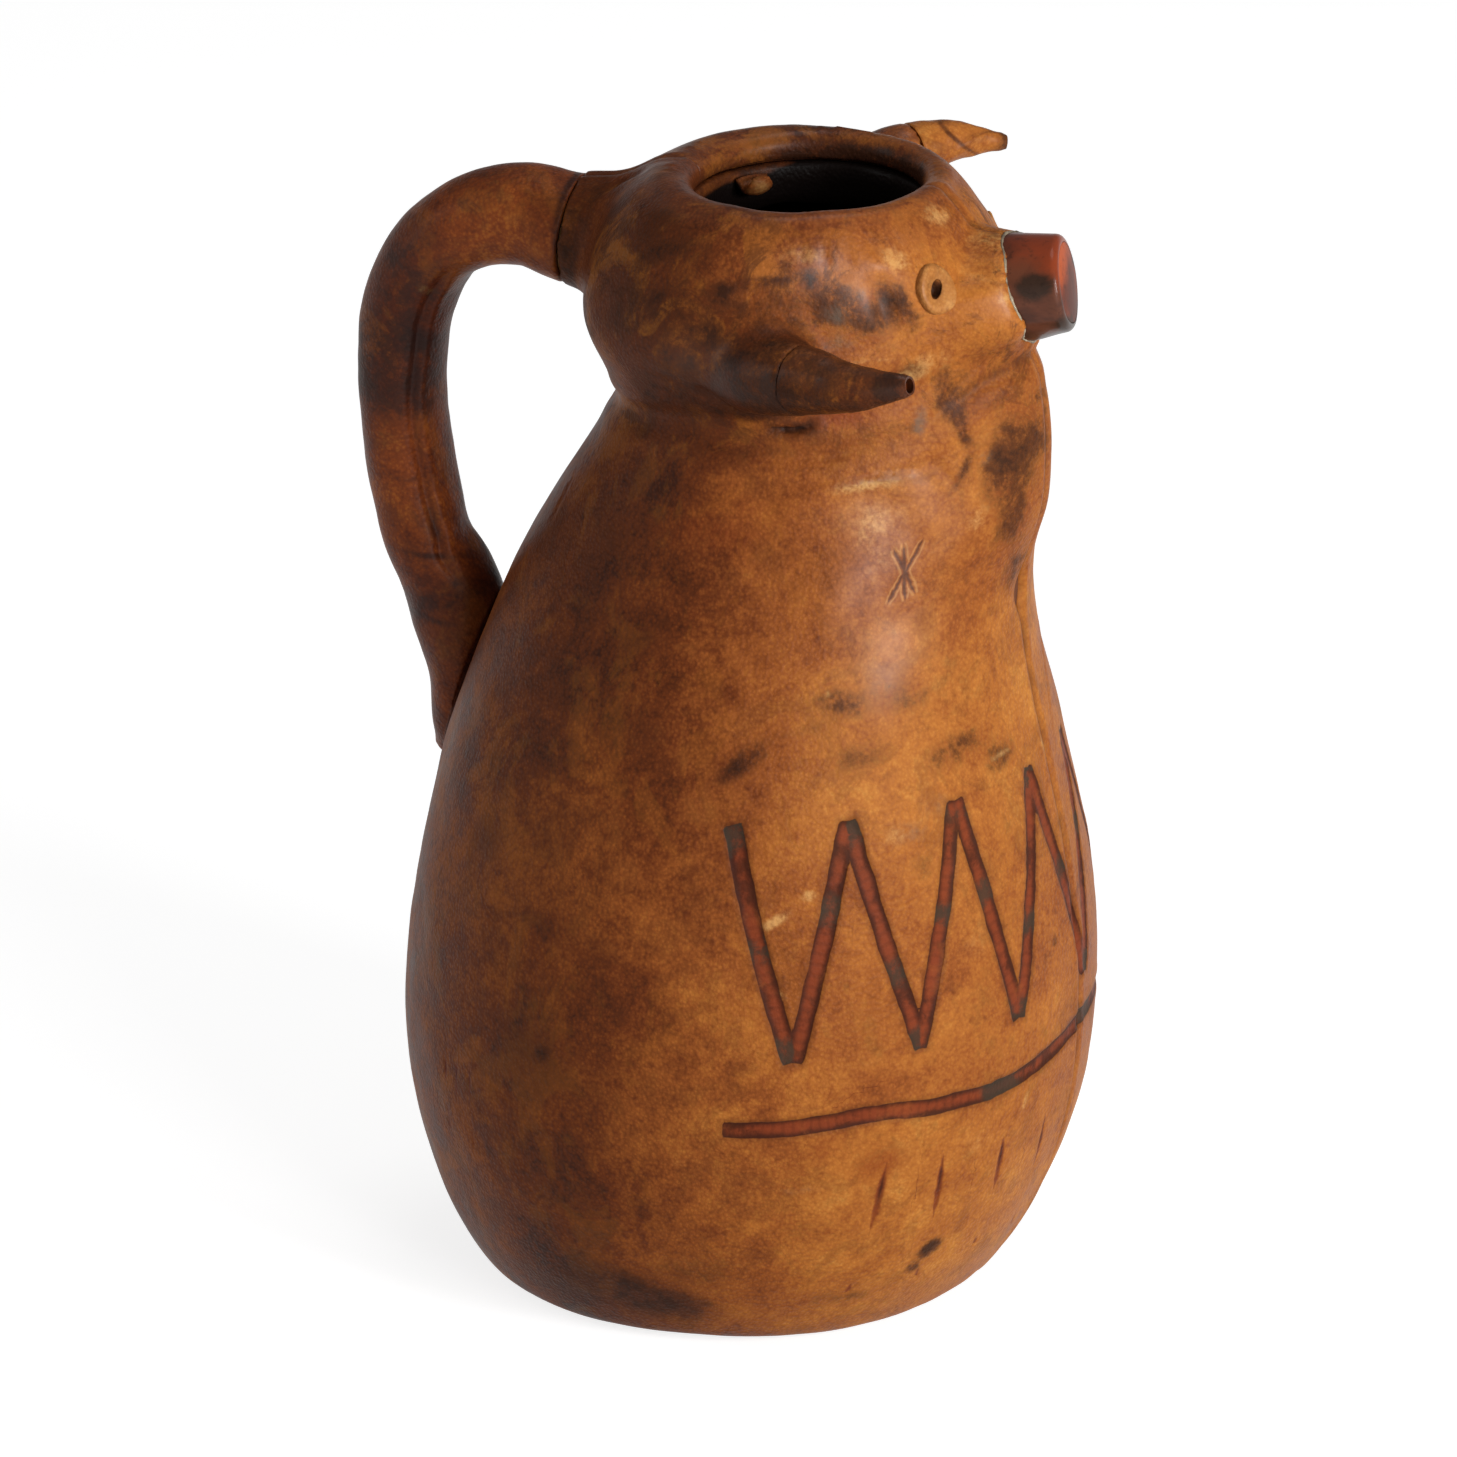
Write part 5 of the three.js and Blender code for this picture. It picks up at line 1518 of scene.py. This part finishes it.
def buildSnout():
    length = math.dist(snoutRoot, snoutFace)
    angle = turns(snout["sides"])
    round_, wall = snout["round"], snout["wall"]
    outer = [snoutRing(t, 0, angle) for t in np.linspace(0.0, 1 - round_ / length, 26)]
    for k in np.linspace(0, 90, 9)[1:]:
        bend = math.radians(k)
        outer.append(snoutRing(1 - round_ / length * (1 - math.sin(bend)),
                               round_ * (1 - math.cos(bend)), angle))
    inner = [snoutRing(1 - 0.25 / length, wall - 0.15, angle)]
    inner += [snoutRing(t, wall, angle) for t in np.linspace(1 - 0.8 / length, 0, 8)]
    rings = np.array(outer + inner)
    flat = rings.reshape(-1, 3)
    under = FormPlaces(flat)             # back end rests on the head under the drawn leather
    buried = under.height < 0.3
    flat[buried] += formNormal(under.u[buried], under.angle[buried]) \
        * (0.3 - under.height[buried])[:, None]
    low = bell(np.degrees(np.arctan2(flat[:, 2] - 276, flat[:, 1])) + 96, 24)
    flat[:, 2] -= 1.0 * low * bell(flat[:, 0] - 79, 6)          # run of lacquer at the bottom
    points, faces = loft(flat.reshape(rings.shape), closed=True)
    obj = addPiece("snout_sleeve_lacquered", points, faces, sleeveFinish, "snout_sleeve",
                   60)
    paintSnout(obj)

    back = 1 - snout["discThick"] / length
    shrink = wall - 0.1
    disc = [snoutRing(back, shrink, angle), snoutRing(1 - .15 / length, shrink, angle),
            snoutRing(1 - .02 / length, shrink + .06, angle), snoutRing(1, shrink + .3, angle)]
    disc += [snoutRing(1 + .7 * share * (2 - share) / length, shrink + 9.8 * share, angle)
             for share in (.2, .4, .6, .8, .95)]
    points, faces = loft(disc)
    obj = addPiece("snout_face_disc", points, faces, endFinish, "snout_end_disc",
                   60)
    paintSnout(obj)

    # bead where the sleeve leaves the leather
    axis = snoutAxis()
    path = []
    for a in angle:
        ring = snoutRing(0.35, -0.1, np.array([a]))[0]
        spot, _, _, _ = vesselSkin.ray_cast(Vector(ring + axis * 40) * mm, Vector(-axis))
        path.append(np.array(spot) / mm)
    path = np.array(path)
    for _ in range(8):
        path = (np.roll(path, 1, 0) + 2 * path + np.roll(path, -1, 0)) / 4
    centre = path.mean(0)
    small = turns(snout["beadSides"])
    rings = []
    for i, p in enumerate(path):
        outward = unit(p - centre)
        along = unit(np.roll(path, -1, 0)[i] - np.roll(path, 1, 0)[i])
        normal = np.cross(along, outward)
        r = snout["bead"] * (1 + 0.3 * math.sin(i * .9) * math.sin(i * .37) + 0.2 * math.sin(i * 2.3))
        aside = (math.degrees(angle[i]) - snout["dripAt"]) / snout["dripHalf"]
        if abs(aside) < 1:               # drip at the bottom
            r += snout["dripSize"] * math.cos(aside * math.pi / 2)
        rings.append(p + np.outer(r * np.cos(small), outward) + np.outer(r * 0.8 * np.sin(small), normal))
    points, faces = loft(rings, closed=True)
    addPiece("snout_glue_line", points, faces, glueFinish, None)


def paintSnout(obj):
    points = getPoints(obj.data)
    x, y, z = points.T
    end = ramp(x, 87.0, 88.4)
    # painted shade: darker towards the bottom and in a band along the side, broken by dark blotches low
    # down
    band = bell(z - 280.6 + 1.8 * lumps(points, 4, 93), 2.6) * bell(x - 82.5, 6) * ramp(np.abs(y), 7, 10)
    blotch = np.clip(1.4 * lumps(points, 4.5, 97) + 0.3, 0, 1) * (1 - ramp(z, 270, 277))
    paint(obj.data, "crease", np.clip(0.75 * (1 - ramp(z, 264, 272 + 5 * end)) + 0.6 * blotch
                                      + 1.25 * band * (1 - end) + 0.35 * lumps(points, 6, 91), 0, 1.2))
    # painted light: lighter towards the top, more so on the end
    top = ramp(z + 2.0 * lumps(points, 8, 94) + 0.35 * (x - 82), 278.5, 290.5)
    paint(obj.data, "worn", np.clip(top * (0.8 + 0.4 * end) + 0.15 * end + 0.2 * lumps(points, 7, 92),
                                    0, 1))


buildSnout()
print("snout made")


# Collar inside the mouth, with an uneven lower edge and a curled tab
collar = {
    "top": 292.3, "bottom": 281, "thick": 3.3, "around": 220,
    "pitchTop": 289.6,         # pitch laps over the lower part, and is drawn higher on the front as painted shade
    "tabAngle": 142.5, "tab": [(.97, 290.5, 1.3, 5), (.93, 289, 1.5, 4.8), (.87, 288.2, 1.7, 4.2),
                               (.81, 289.6, 1.5, 3.6), (.79, 291.6, 1.0, 2.6)],
}


def buildCollar():
    angle = turns(collar["around"])
    spin = np.stack([np.cos(angle), np.sin(angle), np.zeros_like(angle)], 1)
    foot = collar["bottom"] + uneven(spin * 30, (0.8, 9, 95), (0.5, 3.5, 96))
    ragged = 1 + uneven(spin * 34, (0.2, 20, 97), (0.15, 8, 98))
    thick, top = collar["thick"], collar["top"]
    # inward distance and height of the cross-section, from the foot up the outside, then down
    profile = [(0.0, foot + 0.3), (0.0, foot + 4), (0.0, 290), (0.0, top - 0.6), (0.4, top),
               (thick - 1, top), (thick - .4, top - .4), (thick, 291), (thick * 1.05, 288.6),
               (thick, 286.4), (thick * .9, 284), (thick * .8, foot + 0.5),
               (thick * 0.6, foot), (thick * 0.2, foot)]
    rings = []
    for inward, z in profile:
        grow = inward * (ragged if inward > thick * 0.55 else 1)
        rings.append(mouthRing(angle, -form["gap"] - grow, z))
    ring = loft(rings, closed=True)
    turn = math.radians(collar["tabAngle"])
    rx = form["mouthRx"] - form["gap"] - thick
    ry = form["mouthRy"] - form["gap"] - thick
    tab = [(form["mouthX"] + rx * share * math.cos(turn), ry * share * math.sin(turn), z, high, wide)
           for share, z, high, wide in collar["tab"]]
    curl, curlFaces = loft(sweepRings(tab, np.linspace(0, len(tab) - 1, 24), 26,
                                      (math.sin(turn), -math.cos(turn), 0)))
    curl += 0.35 * lumps(curl, 3.2, 98)[:, None] * unit(curl - curl.mean(0))
    points, faces = joined(ring, (curl, curlFaces))
    obj = addPiece("mouth_collar_leather", points, faces, collarLeather, "mouth_collar")
    points = getPoints(obj.data)
    tabHere = bell(np.linalg.norm(points - np.array(tab[3][:3]), axis=1), 5)
    # painted shade inside the mouth, deepest on the front side, where the pitch is drawn higher too
    away = 0.5 + 0.5 * np.cos(np.arctan2(points[:, 1], points[:, 0] - form["mouthX"]) - 0.4)
    edge = collar["pitchTop"] + 0.8 * lumps(points, 7, 99) + 4.5 * ramp(away, 0.27, 0.6)
    pitch = (1 - ramp(points[:, 2], edge - 1.5, edge + 1.5)) * (1 - ramp(tabHere, 0.2, 0.6))
    paint(obj.data, "pitch", pitch)
    paintPlain(obj, 0.4 + 0.14 * tabHere + 0.05 * lumps(points, 12, 90),
               (np.clip(lumps(points, 9, 94), 0, 1) * 0.6 + 0.45 + 0.6 * away) * (1 - 0.7 * tabHere),
               0.25 * tabHere, 0.4 * tabHere + 0.2 * np.clip(lumps(points, 6, 89), 0, 1))


buildCollar()


# Smooth pitch coat inside, and the sole
lining = {"outer": 3.3, "thick": 1.0, "floor": 7.1, "top": 279, "around": 96, "rows": 90}


def buildLining():
    angle = turns(lining["around"])
    ones = np.ones_like(angle)

    def wall(inward, floor, top, us):
        rings = []
        for u in us:
            ring = formPoint(u, angle) - inward * formNormal(u * ones, angle)
            if ring[:, 2].max() > floor and ring[:, 2].min() < top:
                ring[:, 2] = np.clip(ring[:, 2], floor, top)
                rings.append(ring)
        return rings
    us = np.linspace(0.9, 14.6, lining["rows"])
    outside = wall(lining["outer"], lining["floor"], lining["top"], us)
    inside = wall(lining["outer"] + lining["thick"], lining["floor"] + lining["thick"],
                  lining["top"], us[::-1])
    points, faces = loft(outside + inside)
    addPiece("inside_pitch_coat", points, faces, pitchFinish, "pitch_lining", 40)


buildLining()
sole = {"radius": 51.7, "thick": 3.8, "round": 0.9, "around": 128}


def buildSole():
    angle = turns(sole["around"])
    ragged = 1 + 0.002 * np.sin(5 * angle) + 0.0015 * np.sin(11 * angle + 1)
    r, h, b = sole["radius"] * 0.996, sole["thick"], sole["round"]
    profile = [(r * .35, 0), (r * .7, 0), (r - b * 1.6, 0), (r - b, 0.06), (r - .3 * b, .3 * b),
               (r, b), (r, h - b), (r - .3 * b, h - .3 * b), (r - b, h), (r * .6, h)]
    rings = [flatRing(angle, 0, radius * ragged, radius * ragged, z) for radius, z in profile]
    points, faces = loft(rings)
    addPiece("sole_leather_disc", points, faces, soleLeather, "base_sole", 40)


buildSole()
hiddenFinishes = {
    "seam_strip_front": rawLeather, "seam_strip_back": rawLeather, "base_inner_disc": soleLeather,
    "handle_core": woodFinish, "horn_core_right": woodFinish, "horn_core_left": woodFinish,
    "snout_plug": woodFinish,
}
for node, finish in hiddenFinishes.items():
    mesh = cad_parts[node].data
    mesh.materials.clear()
    mesh.materials.append(finish)
print("collar, coat and sole made")


# Camera, floor and light
view = {
    "azimuth": 20, "elevation": 21, "distance": 3.0, "lens": 284.6,
    "aim": (-0.0043, -0.0041, 0.150),     # right, up, height of the aim
}
studio = {
    "floorHalf": 6.0, "floorDrop": 0.0006, "floorColour": 0.5, "floorGlow": 0.8,
    "skyLow": 0.7, "skyHigh": 0.17,
    "key": (1.9, -0.8, 0.78, 0.55, 0.7, 29.0),    # x, y, z, width, height, watts
    "front": (1.25, -1.2, 0.62, 0.4, 1.0, 11.0),
    "top": (0.1, 0.3, 1.9, 0.8, 0.8, 5.0),
    "side": (-1.9, -1.0, 0.9, 0.5, 1.3, 5.0),
}


def lamp(name, x, y, z, wide, high, watts):
    light = bpy.data.lights.new(name, "AREA")
    light.shape = "RECTANGLE"
    light.size, light.size_y, light.energy = wide, high, watts
    obj = bpy.data.objects.new(name, light)
    obj.location = (x, y, z)
    obj.rotation_euler = (Vector((0, 0, 0.16)) - obj.location).to_track_quat("-Z", "Y").to_euler()
    bpy.context.scene.collection.objects.link(obj)


def buildCamera():
    turn, rise = math.radians(view["azimuth"]), math.radians(view["elevation"])
    back = Vector((math.sin(turn) * math.cos(rise), -math.cos(turn) * math.cos(rise),
                   math.sin(rise)))
    right = Vector((math.cos(turn), math.sin(turn), 0))
    up = back.cross(right)
    sideways, upward, height = view["aim"]
    camera = bpy.data.cameras.new("camera")
    camera.lens = view["lens"]
    camera.sensor_width = 36
    camera.clip_end = 20
    obj = bpy.data.objects.new("camera", camera)
    basis = Matrix((right, up, back)).transposed().to_4x4()
    basis.translation = Vector((0, 0, height)) + right * sideways + up * upward \
        + back * view["distance"]
    obj.matrix_world = basis
    bpy.context.scene.collection.objects.link(obj)
    bpy.context.scene.camera = obj


def buildFloor():
    size = studio["floorHalf"]
    mesh = bpy.data.meshes.new("studio_floor")
    mesh.from_pydata([(-size, -size, 0), (size, -size, 0), (size, size, 0), (-size, size, 0)],
                     [], [(0, 1, 2, 3)])
    floor = bpy.data.objects.new("studio_floor", mesh)
    floor.location.z = -studio["floorDrop"]
    bpy.context.scene.collection.objects.link(floor)
    material, place = startMaterial("pale_floor")
    rays = place.tree.nodes.new("ShaderNodeLightPath").outputs
    direct, glossy, through = (Field(place.tree, rays[f"Is {kind} Ray"])
                               for kind in ("Camera", "Glossy", "Transmission"))
    seen = place.maths("MAXIMUM", place.maths("MAXIMUM", direct, glossy), through)
    grey = 0.995 + (place.noise(3, 2) - 0.5) * 0.01
    paper = place.node("ShaderNodeCombineColor", None, {"Red": grey, "Green": grey, "Blue": grey})
    shader = place.node("ShaderNodeBsdfPrincipled", None, {
        "Base Color": (studio["floorColour"],) * 3 + (1,), "Roughness": 0.9,
        "Specular IOR Level": 0.1, "Emission Color": paper,
        "Emission Strength": seen * studio["floorGlow"]})
    place.node("ShaderNodeOutputMaterial", None, {"Surface": shader})
    mesh.materials.append(material)


def buildSky():
    world = bpy.data.worlds.new("studio")
    world.use_nodes = True
    tree = world.node_tree
    tree.nodes.clear()
    look = Field(tree, tree.nodes.new("ShaderNodeTexCoord").outputs["Generated"])
    rise = look.node("ShaderNodeSeparateXYZ", None, {0: look}, "Z")
    glow = (1 - rise.step(0.05, 0.28)) * (studio["skyLow"] - studio["skyHigh"]) + studio["skyHigh"]
    backdrop = look.node("ShaderNodeBackground", None, {"Color": (1, 1, 1, 1), "Strength": glow})
    look.node("ShaderNodeOutputWorld", None, {"Surface": backdrop})
    bpy.context.scene.world = world


buildCamera()
buildFloor()
buildSky()
for name in ("key", "front", "top", "side"):
    lamp(name + "_softbox", *studio[name])
bpy.context.scene.view_settings.view_transform = "Standard"
print("studio set")
